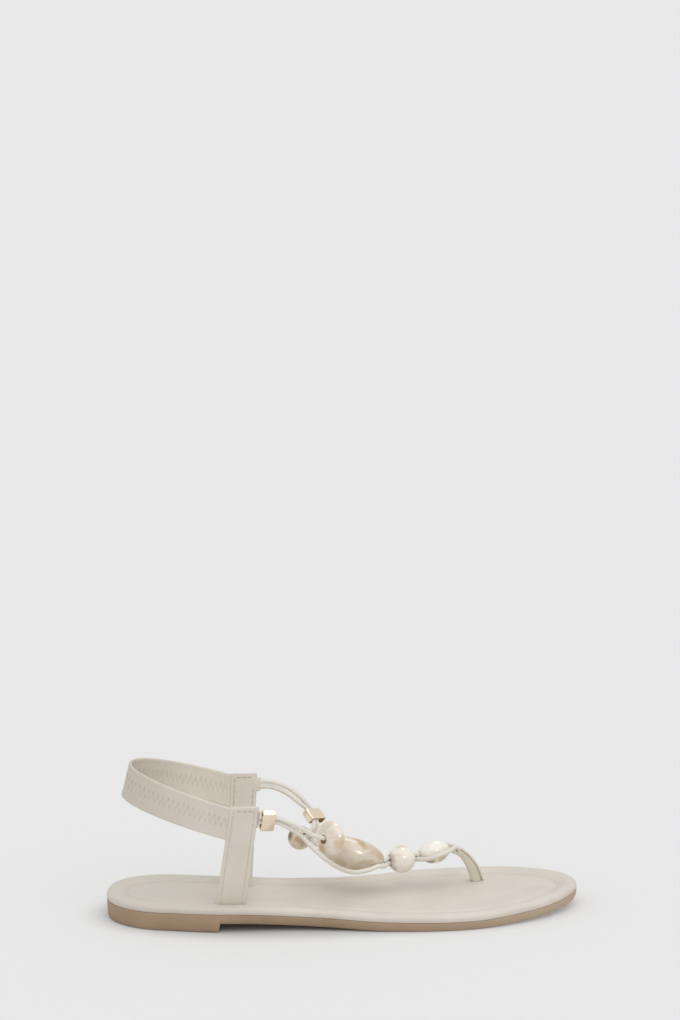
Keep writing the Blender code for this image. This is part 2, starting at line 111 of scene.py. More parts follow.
ProfileRow = namedtuple("ProfileRow", "x top bottom")
SOLE_PROFILE = (
    ProfileRow(-125.0, 9.6, 4.6),
    ProfileRow(-66.0, 9.7, 4.5),
    ProfileRow(-22.0, 7.5, 2.4),
    ProfileRow(22.0, 5.1, 0.0),
    ProfileRow(68.0, 4.7, 0.0),
    ProfileRow(84.0, 5.6, 0.8),
    ProfileRow(105.0, 6.9, 2.2),
    ProfileRow(125.0, 9.2, 4.2),
)

# Rows round the sole: distance in from the edge, height above a level, that level between the
# outsole's underside (0) and top (1), and share of the way from the inset to the middle
SoleRow = namedtuple("SoleRow", "inset height level share", defaults=(1.0, 0.0))
OUTSOLE_ROWS = (
    SoleRow(6.2, 0.4, 0.0, 1.0),
    SoleRow(6.2, 0.4, 0.0, 0.5),
    SoleRow(6.2, 0.4, 0.0),
    SoleRow(5.6, 0.0, 0.0),
    SoleRow(1.6, 0.0, 0.0),
    SoleRow(1.1, 0.3, 0.0),
    SoleRow(0.7, 0.75, 0.0),
    SoleRow(0.4, 1.3, 0.0),
    SoleRow(0.15, 0.0, 0.5),
    SoleRow(0.0, -1.4),
    SoleRow(0.03, -0.5),
    SoleRow(0.15, -0.12),
    SoleRow(0.4, 0.0),
    SoleRow(3.0, 0.0),
    SoleRow(3.0, 0.0, 1.0, 1.0),
)
FOOTBED_ROWS = (
    SoleRow(3.0, 0.08, 1.0, 1.0),
    SoleRow(3.0, 0.08),
    SoleRow(0.45, 0.08),
    SoleRow(0.2, 0.3),
    SoleRow(0.06, 0.8),
    SoleRow(0.0, 1.35),
    SoleRow(0.0, 1.9),
    SoleRow(0.15, 2.5),
    SoleRow(0.6, 3.1),
    SoleRow(1.3, 3.6),
    SoleRow(2.3, 3.95),
    SoleRow(3.5, 4.1),
    SoleRow(4.6, 4.1),
    SoleRow(6.0, 3.9),
    SoleRow(7.4, 3.55),
    SoleRow(8.6, 3.1),
    SoleRow(9.3, 2.76),
    SoleRow(9.8, 2.38),
    SoleRow(10.2, 2.1),
    SoleRow(10.6, 2.2),
    SoleRow(11.2, 2.6),
    SoleRow(12.8, 2.9),
    SoleRow(14.5, 2.98),
    SoleRow(14.5, 3.04, 1.0, 0.15),
    SoleRow(14.5, 3.08, 1.0, 0.3),
    SoleRow(14.5, 3.1, 1.0, 0.45),
    SoleRow(14.5, 3.1, 1.0, 0.6),
    SoleRow(14.5, 3.1, 1.0, 0.75),
    SoleRow(14.5, 3.1, 1.0, 0.9),
    SoleRow(14.5, 3.1, 1.0, 1.0),
)

# Soft troughs of the padded footbed, on the rows above a height: where the foot bends it and
# where the straps pull it
CREASED_ABOVE = 2.0
Crease = namedtuple("Crease", "x y turn length width depth")
CREASES = (
    Crease(52.0, -16.0, 96.0, 16.0, 3.0, 0.22),
    Crease(60.0, -2.0, 84.0, 13.0, 2.6, 0.2),
    Crease(75.0, 20.0, 10.0, 6.5, 4.5, 0.4),
    Crease(-61.0, -23.4, 0.0, 9.0, 4.0, 0.3),
    Crease(-55.3, 6.4, 0.0, 9.0, 4.0, 0.3),
    Crease(-92.0, 0.0, 90.0, 14.0, 12.0, 0.3),
)
SLOT_ROOM = 0.16
SLOT_HEIGHTS = (4.0, 20.0)
POST_SLOT_SHARES = (-0.6, 1.0)

# Upper: two upright straps, the sling band round the heel and the toe post
Strap = namedtuple("Strap", "foot top foot_width top_width tongue_z tongue_height tongue_length")
STRAP_THICKNESS = 2.2
STRAPS = {
    "lateral": Strap((-61.3, -23.4), (-53.5, -27.5, 65.8), 15.7, 14.8, 58.8, 9.4, 1.1),
    "medial": Strap((-55.3, 6.4), (-51.3, 18.5, 70.8), 14.0, 14.0, 64.9, 7.4, 2.0),
}
STRAP_LEVELS = 30
STRAP_ROUND = 0.4
LAYER_GAP = 0.04
LAYER_SPARE = 0.02
LAYER_FACE_STEPS = 72
LAYER_EDGE_STEPS = 6
END_SHARES = (0.35, 0.75, 1.0)
END_FULLNESS = 0.95
TONGUE_SLOPE = -0.08
TONGUE_THICKNESS = 1.3
TONGUE_SET_BACK = 0.5
TONGUE_ROOT = 2.0
TONGUE_ROUND = 0.5
TONGUE_STEPS = 8
STITCH_INSET = 2.0
STITCH_PITCH = 2.9
STITCH_LENGTH = 2.4
STITCH_DIP = 0.28
STITCH_DIP_WIDTH = 0.4
STITCH_START = 0.6
STITCH_STOP = 6.0
STITCH_CORNER = 0.8
TOP_STITCH_SHIFT = 0.15
StitchPoint = namedtuple("StitchPoint", "share lift")
STITCH_POINTS = (
    StitchPoint(0.0, -0.25),
    StitchPoint(0.15, 0.1),
    StitchPoint(0.5, 0.16),
    StitchPoint(0.85, 0.1),
    StitchPoint(1.0, -0.25),
)
THREAD_RADIUS = 0.17

BAND_WIDTH = 17.7
BAND_THICKNESS = 1.5
BAND_STEPS = 240
BAND_FACE_STEPS = 26
BAND_REACH_TOP = 52.6
BAND_REACH_FOOT = 55.2
BAND_RISE = 17.0
BAND_TUCK = 0.6
BAND_EDGE = 0.6
BAND_EDGE_STEPS = 5
BAND_TRIM = 0.12
BAND_ROLL = 0.16
BAND_ROLL_PLACE = 1.0
BAND_ROLL_WIDTH = 0.9
BAND_SUNK = 0.12
BAND_SUNK_WIDTH = 3.4
ZIGZAG_PITCH = 2.8
ZIGZAG_RISE = 2.7
ZIGZAG_CENTRE = 0.6
ZIGZAG_THREAD = 0.12
ZIGZAG_STEPS = 6
PUCKER = 0.1
PUCKER_PLACE = 1.2
PUCKER_WIDTH = 1.6

POST_WIDTH = 4.6
POST_STEPS = 8
POST_SIDES = 120
POST_CORNER_POWER = 0.5
POST_END_SHARE = 0.86
POST_SEAM = 0.45
POST_SEAM_DEPTH = 1.2
POST_SEAM_WIDTH = 0.38
PostRow = namedtuple("PostRow", "inner outer")
POST_ROWS = (
    PostRow((71.2, 19.4, 5.4), (78.8, 20.9, 5.4)),
    PostRow((70.3, 18.6, 9.4), (77.4, 19.9, 9.4)),
    PostRow((69.3, 17.5, 12.5), (75.5, 18.6, 14.5)),
    PostRow((67.8, 15.9, 16.4), (73.2, 16.7, 19.0)),
    PostRow((65.6, 14.2, 20.4), (70.3, 14.7, 23.1)),
    PostRow((63.2, 12.2, 23.9), (67.0, 12.4, 26.7)),
    PostRow((60.6, 9.9, 26.2), (62.6, 9.9, 30.2)),
)

# Threaded pieces: gold sleeves on the cord pairs and drilled beads
CORD_RADIUS = 1.2
CORD_STEP = 1.4
CORD_ROUNDING = 4
ROUND_LANES = {"lateral": (1.5, -0.9), "medial": (-1.5, -0.9), "middle": (0.0, 1.4)}
POST_LANES = {"lateral": (1.4, 0.8), "medial": (-1.4, 0.8), "middle": (0.0, -1.6)}
TONGUE_LANE = 1.35
TONGUE_LEAN = {"lateral": -0.25, "medial": 0.0}
SleeveLane = namedtuple("SleeveLane", "way_in way_out")
SLEEVE_LANES = {
    "lateral_outer": SleeveLane(-1.35, -1.35),
    "lateral_inner": SleeveLane(1.35, 1.35),
    "medial_outer": SleeveLane(1.4, -0.8),
    "medial_inner": SleeveLane(-1.4, -3.4),
}
LEAD = 2.5
CORD_CLEAR = 0.2
TUCK = 0.9
SLEEVE_LENGTH = 6.9
SLEEVE_HEIGHT = 11.4
SLEEVE_DEPTH = 4.5
SLEEVE_WALL = 0.6
SLEEVE_CORNER = 0.8
SLEEVE_EDGE = 0.18
SLEEVE_EDGE_MIDDLE = 0.3
Sleeve = namedtuple("Sleeve", "centre axis upright")
SLEEVES = {
    "lateral": Sleeve((-41.6, -26.4, 58.0), (0.984, 0.159, -0.077), (0.158, -0.378, 0.912)),
    "medial": Sleeve((-14.6, 11.7, 48.3), (0.47, -0.64, -0.59), (0.692, 0.694, -0.201)),
}
Bead = namedtuple("Bead", "centre axis length width bore finish")
BEADS = {
    "bead_lateral": Bead((-8.1, -16.5, 44.2), (0.79, 0.60, -0.14), 10.8, 19.0, 4.4, "pearl_resin"),
    "bead_medial": Bead((-22.1, 13.5, 35.9), (0.383, -0.864, 0.328), 12.4, 13.0, 4.0, "amber_resin"),
    "bead_oval": Bead((4.4, 3.5, 29.6), (0.964, -0.11, -0.236), 36.4, 17.2, 3.8, "sand_resin"),
    "bead_round": Bead((31.6, 4.7, 25.4), (0.982, 0.175, 0.063), 15.0, 14.6, 6.3, "ivory_resin"),
    "bead_toe": Bead((49.4, 7.5, 28.2), (0.982, 0.120, 0.138), 16.6, 12.4, 3.4, "ivory_resin"),
}
BEAD_RINGS = 36
BEAD_SIDES = 64
BEAD_WOBBLE = 0.012
BEAD_WOBBLE_SIZE = 7.0
BORE_ROUND = 0.35
BORE_LIP = 0.1
BORE_LIP_DEPTH = 0.06
BORE_DEPTH = 0.4

# Light: an even dome with a wide soft sun, and cards that only show in gloss. Places and sizes
# of the cards and the floor are in metres
DOME_STRENGTH = 0.76
SUN_STRENGTH = 0.9
SUN_WIDTH = 70.0
SUN_TILT = (20.0, 8.0)
Card = namedtuple("Card", "place size strength")
CARDS = (Card((0.35, -0.86, 0.6), 0.2, 11.0), Card((0.21, 0.45, 0.90), 0.4, 2.4))
FLOOR_REACH = 150.0
# Painted light: the floor glows outside an oval round the shoe, so that the wide shadow stays faint
FLOOR_PAINTED_LIGHT = 0.2
FLOOR_OVAL = (0.105, 0.044, 1.0)
FLOOR_OVAL_PLACE = (-0.02, 0.0, 0.0)
FLOOR_OVAL_EDGE = (0.8, 1.2)


def smooth(rows, column, x):
    """Value of a table's column at x, on a smooth curve that never swings past its rows."""
    xs = [row.x for row in rows]
    ys = [getattr(row, column) for row in rows]
    x = min(max(x, xs[0]), xs[-1])
    steps = [(ys[i + 1] - ys[i]) / (xs[i + 1] - xs[i]) for i in range(len(xs) - 1)]
    slopes = [0.0] * len(xs)
    for i in range(1, len(xs) - 1):
        if steps[i - 1] * steps[i] > 0.0:
            slopes[i] = 2.0 * steps[i - 1] * steps[i] / (steps[i - 1] + steps[i])
    slopes[0] = steps[0]
    slopes[-1] = steps[-1]
    i = max(k for k in range(len(xs) - 1) if xs[k] <= x)
    span = xs[i + 1] - xs[i]
    t = (x - xs[i]) / span
    rise = t * t * (3.0 - 2.0 * t)
    start = t * (1.0 - t) ** 2 * span * slopes[i]
    end = t * t * (1.0 - t) * span * slopes[i + 1]
    return ys[i] + (ys[i + 1] - ys[i]) * rise + start - end


def bell(distance, width):
    """Soft bump that is 1 in its middle and fades over a width."""
    return math.exp(-(distance / width) ** 2)


def put(name, data):
    """Object for a mesh, curve, lamp or camera, put in the scene."""
    made = bpy.data.objects.new(name, data)
    bpy.context.scene.collection.objects.link(made)
    return made


# Camera

def make_camera():
    """Camera at the photo's angle, turned until the shoe stands where the photo has it."""
    elevation = math.radians(CAMERA_ELEVATION)
    azimuth = math.radians(CAMERA_AZIMUTH)
    level = math.cos(elevation)
    back = Vector((math.sin(azimuth) * level, -math.cos(azimuth) * level, math.sin(elevation)))
    right = (TARGET_PIXEL[0] - PHOTO_SIZE[0] / 2.0) / FOCAL_PIXELS
    up = (PHOTO_SIZE[1] / 2.0 - TARGET_PIXEL[1]) / FOCAL_PIXELS
    sink = math.sin(elevation) * math.sqrt((1.0 + right ** 2 + up ** 2) / (1.0 + up ** 2))
    pitch = -math.asin(sink) - math.atan(up)
    yaw = azimuth + math.atan2(right, math.cos(pitch) - up * math.sin(pitch))
    camera = put("camera", bpy.data.cameras.new("camera"))
    camera.data.sensor_width = SENSOR
    camera.data.lens = FOCAL_PIXELS * SENSOR / PHOTO_SIZE[1]
    camera.data.clip_end = SIGHT
    camera.location = (Vector(CAMERA_TARGET) + back * CAMERA_DISTANCE) * MM
    camera.rotation_euler = (math.pi / 2.0 + pitch, 0.0, yaw)
    bpy.context.scene.camera = camera


# Meshes

def loft(loops, capped=True):
    """Points and faces of a skin through closed loops of points."""
    count = len(loops[0])
    points = [point for loop in loops for point in loop]
    faces = []
    for row in range(len(loops) - 1):
        low = row * count
        high = low + count
        for k in range(count):
            after = (k + 1) % count
            faces.append((low + k, low + after, high + after, high + k))
    if capped:
        faces.append(tuple(range(count))[::-1])
        faces.append(tuple(range(len(points) - count, len(points))))
    return points, faces


def tube(path, radius, sides=6):
    """Thin round tube along a path, for threads."""
    loops = []
    for k, place in enumerate(path):
        along = (path[min(k + 1, len(path) - 1)] - path[max(k - 1, 0)]).normalized()
        side = along.cross(UP if abs(along.z) < 0.9 else Vector((0.0, 1.0, 0.0))).normalized()
        lift = side.cross(along)
        turns = [2.0 * math.pi * s / sides for s in range(sides)]
        loops.append([place + (side * math.cos(t) + lift * math.sin(t)) * radius for t in turns])
    return loft(loops)


def join(skins):
    """Points and faces of several skins as one."""
    points = []
    faces = []
    for skin_points, skin_faces in skins:
        start = len(points)
        points.extend(skin_points)
        faces.extend(tuple(start + v for v in face) for face in skin_faces)
    return points, faces


def mesh_of(name, skin):
    """Mesh from a skin in millimetres, with its seams welded and its faces turned outwards."""
    mesh = bpy.data.meshes.new(name)
    mesh.from_pydata([Vector(p) * MM for p in skin[0]], [], skin[1])
    work = bmesh.new()
    work.from_mesh(mesh)
    bmesh.ops.remove_doubles(work, verts=work.verts, dist=WELD * MM)
    bmesh.ops.recalc_face_normals(work, faces=work.faces)
    work.to_mesh(mesh)
    work.free()
    return mesh


def piece(name, skin, material, nodes=()):
    """Piece of the shoe from a skin, shaded smooth with sharp creases."""
    mesh = mesh_of(name, skin)
    mesh.shade_smooth()
    mesh.set_sharp_from_angle(angle=math.radians(SHARP_ANGLE))
    return dress(put(name, mesh), material, nodes)


def dress(made, material, nodes=()):
    """Give a piece its material and the solid it stands for."""
    made.data.materials.append(material)
    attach(made, "root")
    if nodes:
        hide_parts(*nodes)
    return made


# Sole

def rounded_end(distance, length, power):
    """Share of the full width at a distance from a rounded end of the sole."""
    left = max(0.0, 1.0 - distance / length)
    return (1.0 - left ** power) ** (1.0 / power)


def half_width(side, x):
    """Half width of the sole on one side of its long axis."""
    heel = rounded_end(x + SOLE_LENGTH / 2.0, HEEL_ROUND, HEEL_POWER[side])
    toe = rounded_end(SOLE_LENGTH / 2.0 - x, TOE_ROUND[side], TOE_POWER[side])
    return smooth(SOLE_SIDES, side, x) * heel * toe


def sole_top(x):
    """Height of the outsole's upper face."""
    return smooth(SOLE_PROFILE, "top", x)


def sole_bottom(x):
    """Height of the outsole's underside: the heel and the forefoot stand on the floor."""
    if x < BREAST_X:
        return 0.0
    return smooth(SOLE_PROFILE, "bottom", x)


SoleLine = namedtuple("SoleLine", "start direction reach square")


def sole_lines():
    """Lines from the sole's outline to its middle, which never cross each other."""
    half = SOLE_LENGTH / 2.0
    even = [-half * math.cos(math.pi * k / SOLE_STATIONS) for k in range(1, SOLE_STATIONS)]
    breast = (BREAST_X - BREAST_SLANT, BREAST_X + BREAST_SLANT)
    stations = sorted([*(x for x in even if min(abs(x - b) for b in breast) > BREAST_ROOM), *breast])
    lateral = [Vector((x, -half_width("lateral", x))) for x in stations]
    medial = [Vector((x, half_width("medial", x))) for x in reversed(stations)]
    ring = [Vector((-half, 0.0)), *lateral, Vector((half, 0.0)), *medial]
    lines = []
    for k, start in enumerate(ring):
        along = (ring[(k + 1) % len(ring)] - ring[k - 1]).normalized()
        inward = Vector((-along.y, along.x))
        x = min(max(start.x, HEEL_SPINE - half), half - TOE_SPINE)
        middle = Vector((x, (half_width("medial", x) - half_width("lateral", x)) / 2.0))
        reach = (middle - start).length
        direction = (middle - start) / reach
        lines.append(SoleLine(start, direction, reach, direction.dot(inward)))
    return lines


def crease_depth(x, y):
    """How far the footbed's face sinks at a place."""
    depth = 0.0
    for crease in CREASES:
        turn = math.radians(crease.turn)
        dx = x - crease.x
        dy = y - crease.y
        along = dx * math.cos(turn) + dy * math.sin(turn)
        across = dy * math.cos(turn) - dx * math.sin(turn)
        depth += crease.depth * bell(along, crease.length) * bell(across, crease.width)
    return depth


def sole_skin(rows, creased=False):
    """Closed skin through rows round the sole, from the middle of its underside to its top's."""
    lines = sole_lines()
    loops = []
    for row in rows:
        loop = []
        for line in lines:
            inset = row.inset / line.square
            x, y = line.start + line.direction * (inset + row.share * (line.reach - inset))
            low = sole_bottom(x)
            z = low + (sole_top(x) - low) * row.level + row.height
            if creased and row.height > CREASED_ABOVE:
                z -= crease_depth(x, y)
            loop.append((x, y, z))
        loops.append(loop)
    return loft(loops, capped=False)


def cut_slot(part, skin):
    """Cut a slot for a strap or the toe post through the footbed."""
    cutter = put("slot", mesh_of("slot", skin))
    cut = part.modifiers.new("slot", "BOOLEAN")
    cut.operation = "DIFFERENCE"
    cut.solver = "EXACT"
    cut.object = cutter
    bpy.context.view_layer.update()
    graph = bpy.context.evaluated_depsgraph_get()
    result = bpy.data.meshes.new_from_object(part.evaluated_get(graph))
    part.modifiers.clear()
    part.data = result
    bpy.data.objects.remove(cutter, do_unlink=True)


def make_sole(rubber, leather):
    """Rubber outsole with its heel, and the padded footbed with its slots."""
    piece("outsole_rubber", sole_skin(OUTSOLE_ROWS), rubber, ["outsole"])
    footbed = piece("footbed_cover", sole_skin(FOOTBED_ROWS, True), leather, ["footbed"])
    for side in STRAPS:
        loops = []
        for z in SLOT_HEIGHTS:
            middle, outward = strap_frame(side, z)
            along = Vector((strap_half(side, z) + SLOT_ROOM, 0.0, 0.0))
            through = outward * (STRAP_THICKNESS / 2.0 + SLOT_ROOM)
            loops.append([middle + along * a + through * b for a, b in ((-1, -1), (1, -1), (1, 1), (-1, 1))])
        cut_slot(footbed, loft(loops))
    low, high = POST_ROWS[:2]
    loops = []
    for t in POST_SLOT_SHARES:
        inner = Vector(low.inner).lerp(Vector(high.inner), t)
        outer = Vector(low.outer).lerp(Vector(high.outer), t)
        room = (outer - inner).normalized() * SLOT_ROOM
        side = Vector((0.0, POST_WIDTH / 2.0 + SLOT_ROOM, 0.0))
        loops.append([inner - room - side, outer + room - side, outer + room + side, inner - room + side])
    cut_slot(footbed, loft(loops))


# Straps

def strap_share(side, z):
    """Share of the way up a strap, from the outsole to its top, at a height."""
    strap = STRAPS[side]
    foot_z = sole_top(strap.foot[0])
    return (z - foot_z) / (strap.top[2] - foot_z)


def strap_half(side, z):
    """Half width of a strap at a height, between the widths of its foot and its top."""
    strap = STRAPS[side]
    return (strap.foot_width + (strap.top_width - strap.foot_width) * strap_share(side, z)) / 2.0


def strap_point(side, z, across):
    """Point of a strap's middle face at a height, across its width in millimetres."""
    strap = STRAPS[side]
    x, y = Vector(strap.foot).lerp(Vector(strap.top[:2]), strap_share(side, z))
    return Vector((x + across, y, z))


def strap_frame(side, z):
    """Middle of a strap at a height, and the direction out of its outer face."""
    strap = STRAPS[side]
    rise = Vector(strap.top) - Vector((*strap.foot, sole_top(strap.foot[0])))
    outward = Vector((0.0, -rise.z, rise.y)).normalized()
    return strap_point(side, z, 0.0), outward if side == "lateral" else -outward


def layer_section(width, thickness, dip):
    """Flat strip of leather with round edges, whose outer face dips along its stitch lines."""
    radius = thickness / 2.0
    flat = width / 2.0 - radius
    section = []
    for k in range(LAYER_FACE_STEPS + 1):
        across = -flat + 2.0 * flat * k / LAYER_FACE_STEPS
        from_line = width / 2.0 - abs(across) - STITCH_INSET
        section.append((across, radius - dip * bell(from_line, STITCH_DIP_WIDTH)))
    turns = [math.pi * (0.5 - k / LAYER_EDGE_STEPS) for k in range(1, LAYER_EDGE_STEPS)]
    section += [(flat + radius * math.cos(t), radius * math.sin(t)) for t in turns]
    section += [(flat, -radius), (0.0, -radius), (-flat, -radius)]
    section += [(-flat - radius * math.cos(t), radius * math.sin(t)) for t in reversed(turns)]
    return section


def strip(frames, section, round_off):
    """Skin of a strip: a section carried through frames (middle, across, out), with round ends."""
    span = max(abs(b) for _, b in section)
    wide = max(abs(a) for a, _ in section)
    along = [(frames[1][0] - frames[0][0]).normalized(), (frames[-1][0] - frames[-2][0]).normalized()]
    stations = [(frame, 0.0, Vector()) for frame in frames]
    for share in END_SHARES:
        inset = round_off * (1.0 - math.sqrt(1.0 - (END_FULLNESS * share) ** 2))
        stations.insert(0, (frames[0], inset, -along[0] * round_off * share))
        stations.append((frames[-1], inset, along[1] * round_off * share))
    loops = []
    for (middle, across, out), inset, shift in stations:
        a_share = 1.0 - inset / wide
        b_share = 1.0 - inset / span
        loops.append([middle + shift + across * (a * a_share) + out * (b * b_share) for a, b in section])
    return loft(loops)


def stitch(start, end, out):
    """One stitch of thread that sinks into the leather at both ends."""
    return tube([start.lerp(end, row.share) + out * row.lift for row in STITCH_POINTS], THREAD_RADIUS)


def edge_stitches(side, low, high, lift, out):
    """Two rows of stitches down the edges of a strap's face."""
    stitches = []
    rows = int((high - STITCH_INSET - low - STITCH_STOP) / STITCH_PITCH)
    for edge_sign in (-1.0, 1.0):
        for k in range(rows):
            ends = []
            for drop in (0.0, STITCH_LENGTH):
                z = high + STRAP_ROUND - STITCH_INSET - STITCH_START - k * STITCH_PITCH - drop
                across = edge_sign * (strap_half(side, z) - STITCH_INSET)
                ends.append(strap_point(side, z, across) + lift)
            stitches.append(stitch(*ends, out))
    return stitches


def top_stitches(side, lift, out):
    """One row of stitches along the top of a strap's face."""
    stitches = []
    strap = STRAPS[side]
    z = strap.top[2] - STITCH_INSET
    edge = strap.top_width / 2.0 - STITCH_INSET
    columns = int((2.0 * edge - STITCH_CORNER) / STITCH_PITCH)
    for k in range(columns):
        spare = (2.0 * edge - columns * STITCH_PITCH) / 2.0
        start = -edge + spare + (k + TOP_STITCH_SHIFT) * STITCH_PITCH
        places = (start, start + STITCH_LENGTH)
        ends = [strap_point(side, z, across) + lift + out * STITCH_DIP for across in places]
        stitches.append(stitch(*ends, out))
    return stitches


def tongue_skin(side):
    """Short tongue at a strap's front edge, sewn between its layers."""
    strap = STRAPS[side]
    _, outward = strap_frame(side, strap.top[2])
    middle = strap_point(side, strap.tongue_z, strap_half(side, strap.tongue_z))
    reach = Vector((1.0, 0.0, TONGUE_SLOPE if side == "lateral" else 0.0))
    length = strap.tongue_length + TONGUE_ROOT - TONGUE_ROUND
    run = [-TONGUE_ROOT + length * k / TONGUE_STEPS for k in range(TONGUE_STEPS + 1)]
    rise = strap_point(side, strap.tongue_z + 1.0, 0.0) - strap_point(side, strap.tongue_z, 0.0)
    frames = [(middle + reach * x - outward * TONGUE_SET_BACK, rise.normalized(), outward) for x in run]
    return strip(frames, layer_section(strap.tongue_height, TONGUE_THICKNESS, 0.0), TONGUE_ROUND)


def make_strap(side, leather, thread, painted_shade_thread):
    """Upright strap: two leather layers with stitched edges, and the tongue sewn between them."""
    strap = STRAPS[side]
    low = sole_top(strap.foot[0] - strap.foot_width / 2.0) + GAP + STRAP_ROUND
    high = strap.top[2] - STRAP_ROUND
    levels = [low + (high - low) * k / STRAP_LEVELS for k in range(STRAP_LEVELS + 1)]
    thickness = (STRAP_THICKNESS - LAYER_GAP) / 2.0 - LAYER_SPARE
    section = layer_section(strap.top_width, thickness, STITCH_DIP)
    layers = []
    down = []
    along_top = []
    for face in (1.0, -1.0):
        frames = []
        for z in levels:
            middle, outward = strap_frame(side, z)
            out = outward * face
            forward = Vector((2.0 * strap_half(side, z) / strap.top_width, 0.0, 0.0))
            frames.append((middle + out * (thickness + LAYER_GAP) / 2.0, forward, out))
        layers.append(strip(frames, section, STRAP_ROUND))
        lift = out * (LAYER_GAP / 2.0 + thickness - STITCH_DIP)
        down += edge_stitches(side, low, high, lift, out)
        along_top += top_stitches(side, lift, out)
    layers.append(tongue_skin(side))
    piece("strap_" + side + "_leather", join(layers), leather, ["strap_" + side])
    piece("strap_" + side + "_stitches", join(down), thread)
    piece("strap_" + side + "_top_stitches", join(along_top), painted_shade_thread)


# Sling band

BandRow = namedtuple("BandRow", "middle up out length")


def band_edge(edge, turn):
    """Point on the band's top (0) or lower (1) edge, on its way round the heel."""
    ends = []
    for side in ("lateral", "medial"):
        strap = STRAPS[side]
        z = strap.top[2] - GAP - BAND_WIDTH * edge
        ends.append(strap_point(side, z, -strap_half(side, z) + BAND_TUCK))
    share = (1.0 - math.cos(turn)) / 2.0
    reach = (BAND_REACH_TOP, BAND_REACH_FOOT)[edge]
    return ends[0].lerp(ends[1], share) + Vector((-reach, 0.0, BAND_RISE)) * math.sin(turn)


def band_rows():
    """Frames along the band, with the length run so far."""
    turns = [math.pi * k / BAND_STEPS for k in range(BAND_STEPS + 1)]
    tops = [band_edge(0, t) for t in turns]
    feet = [band_edge(1, t) for t in turns]
    middles = [(a + b) / 2.0 for a, b in zip(tops, feet)]
    rows = []
    length = 0.0
    for k, middle in enumerate(middles):
        up = (tops[k] - feet[k]).normalized()
        along = middles[min(k + 1, BAND_STEPS)] - middles[max(k - 1, 0)]
        if k:
            length += (middle - middles[k - 1]).length
        rows.append(BandRow(middle, up, up.cross(along).normalized(), length))
    return rows


def zigzag(length):
    """Height of the zigzag stitch on the band, at a length along it."""
    t = (length / ZIGZAG_PITCH) % 1.0
    return ZIGZAG_CENTRE + ZIGZAG_RISE * (4.0 * abs(t - 0.5) - 1.0)


def band_half_thickness(height, length):
    """Half thickness of the band: full rolled edges, gathered and puckered between them."""
    from_edge = BAND_WIDTH / 2.0 - abs(height)
    roll = BAND_ROLL * bell(from_edge - BAND_ROLL_PLACE, BAND_ROLL_WIDTH)
    gather = PUCKER * math.cos(2.0 * math.pi * length / ZIGZAG_PITCH)
    above = bell(height - ZIGZAG_CENTRE - ZIGZAG_RISE - PUCKER_PLACE, PUCKER_WIDTH)
    below = bell(height - ZIGZAG_CENTRE + ZIGZAG_RISE + PUCKER_PLACE, PUCKER_WIDTH)
    sunk = BAND_SUNK * bell(height - ZIGZAG_CENTRE, BAND_SUNK_WIDTH)
    return BAND_THICKNESS / 2.0 - BAND_TRIM + roll + gather * (above - below) - sunk


def make_band(leather, thread):
    """Sling band: covered elastic with rolled edges and zigzag gathering stitches on both faces."""
    rows = band_rows()
    flat = BAND_WIDTH / 2.0 - BAND_EDGE
    deep = BAND_THICKNESS / 2.0
    heights = [-flat + 2.0 * flat * k / BAND_FACE_STEPS for k in range(BAND_FACE_STEPS + 1)]
    turns = [math.pi * (0.5 - k / BAND_EDGE_STEPS) for k in range(1, BAND_EDGE_STEPS)]
    loops = []
    for row in rows:
        section = [(h, band_half_thickness(h, row.length)) for h in heights]
        section += [(flat + BAND_EDGE * math.cos(t), deep * math.sin(t)) for t in turns]
        section += [(h, -b) for h, b in reversed(section[:len(heights)])]
        section += [(-flat - BAND_EDGE * math.cos(t), deep * math.sin(t)) for t in reversed(turns)]
        loops.append([row.middle + row.up * h + row.out * b for h, b in section])
    piece("sling_band_leather", loft(loops), leather, ["sling_band"])
    threads = []
    for face in (1.0, -1.0):
        path = []
        k = 0
        legs = int(rows[-1].length / ZIGZAG_PITCH * 2.0) - 1
        for step in range(1, ZIGZAG_STEPS // 2 * legs):
            length = ZIGZAG_PITCH * step / ZIGZAG_STEPS
            while rows[k + 1].length < length:
                k += 1
            row = rows[k]
            ahead = rows[k + 1]
            share = (length - row.length) / (ahead.length - row.length)
            height = zigzag(length)
            lift = band_half_thickness(height, length) * face
            path.append(row.middle.lerp(ahead.middle, share) + row.up * height + row.out * lift)
        threads.append(tube(path, ZIGZAG_THREAD))
    piece("sling_band_zigzag", join(threads), thread)


# Toe post

def curve_through(points, steps):
    """Points on a smooth curve through rows of numbers."""
    rows = [Vector(p) for p in points]
    rows = [rows[0] * 2.0 - rows[1]] + rows + [rows[-1] * 2.0 - rows[-2]]
    path = []
    for k in range(1, len(rows) - 2):
        a, b, c, d = rows[k - 1:k + 3]
        for step in range(steps):
            t = step / steps
            path.append(
                b + (c - a) * (0.5 * t) + (a * 2.0 - b * 5.0 + c * 4.0 - d) * (0.5 * t * t)
                + (b * 3.0 - c * 3.0 + d - a) * (0.5 * t ** 3)
            )
    return path + [rows[-2]]


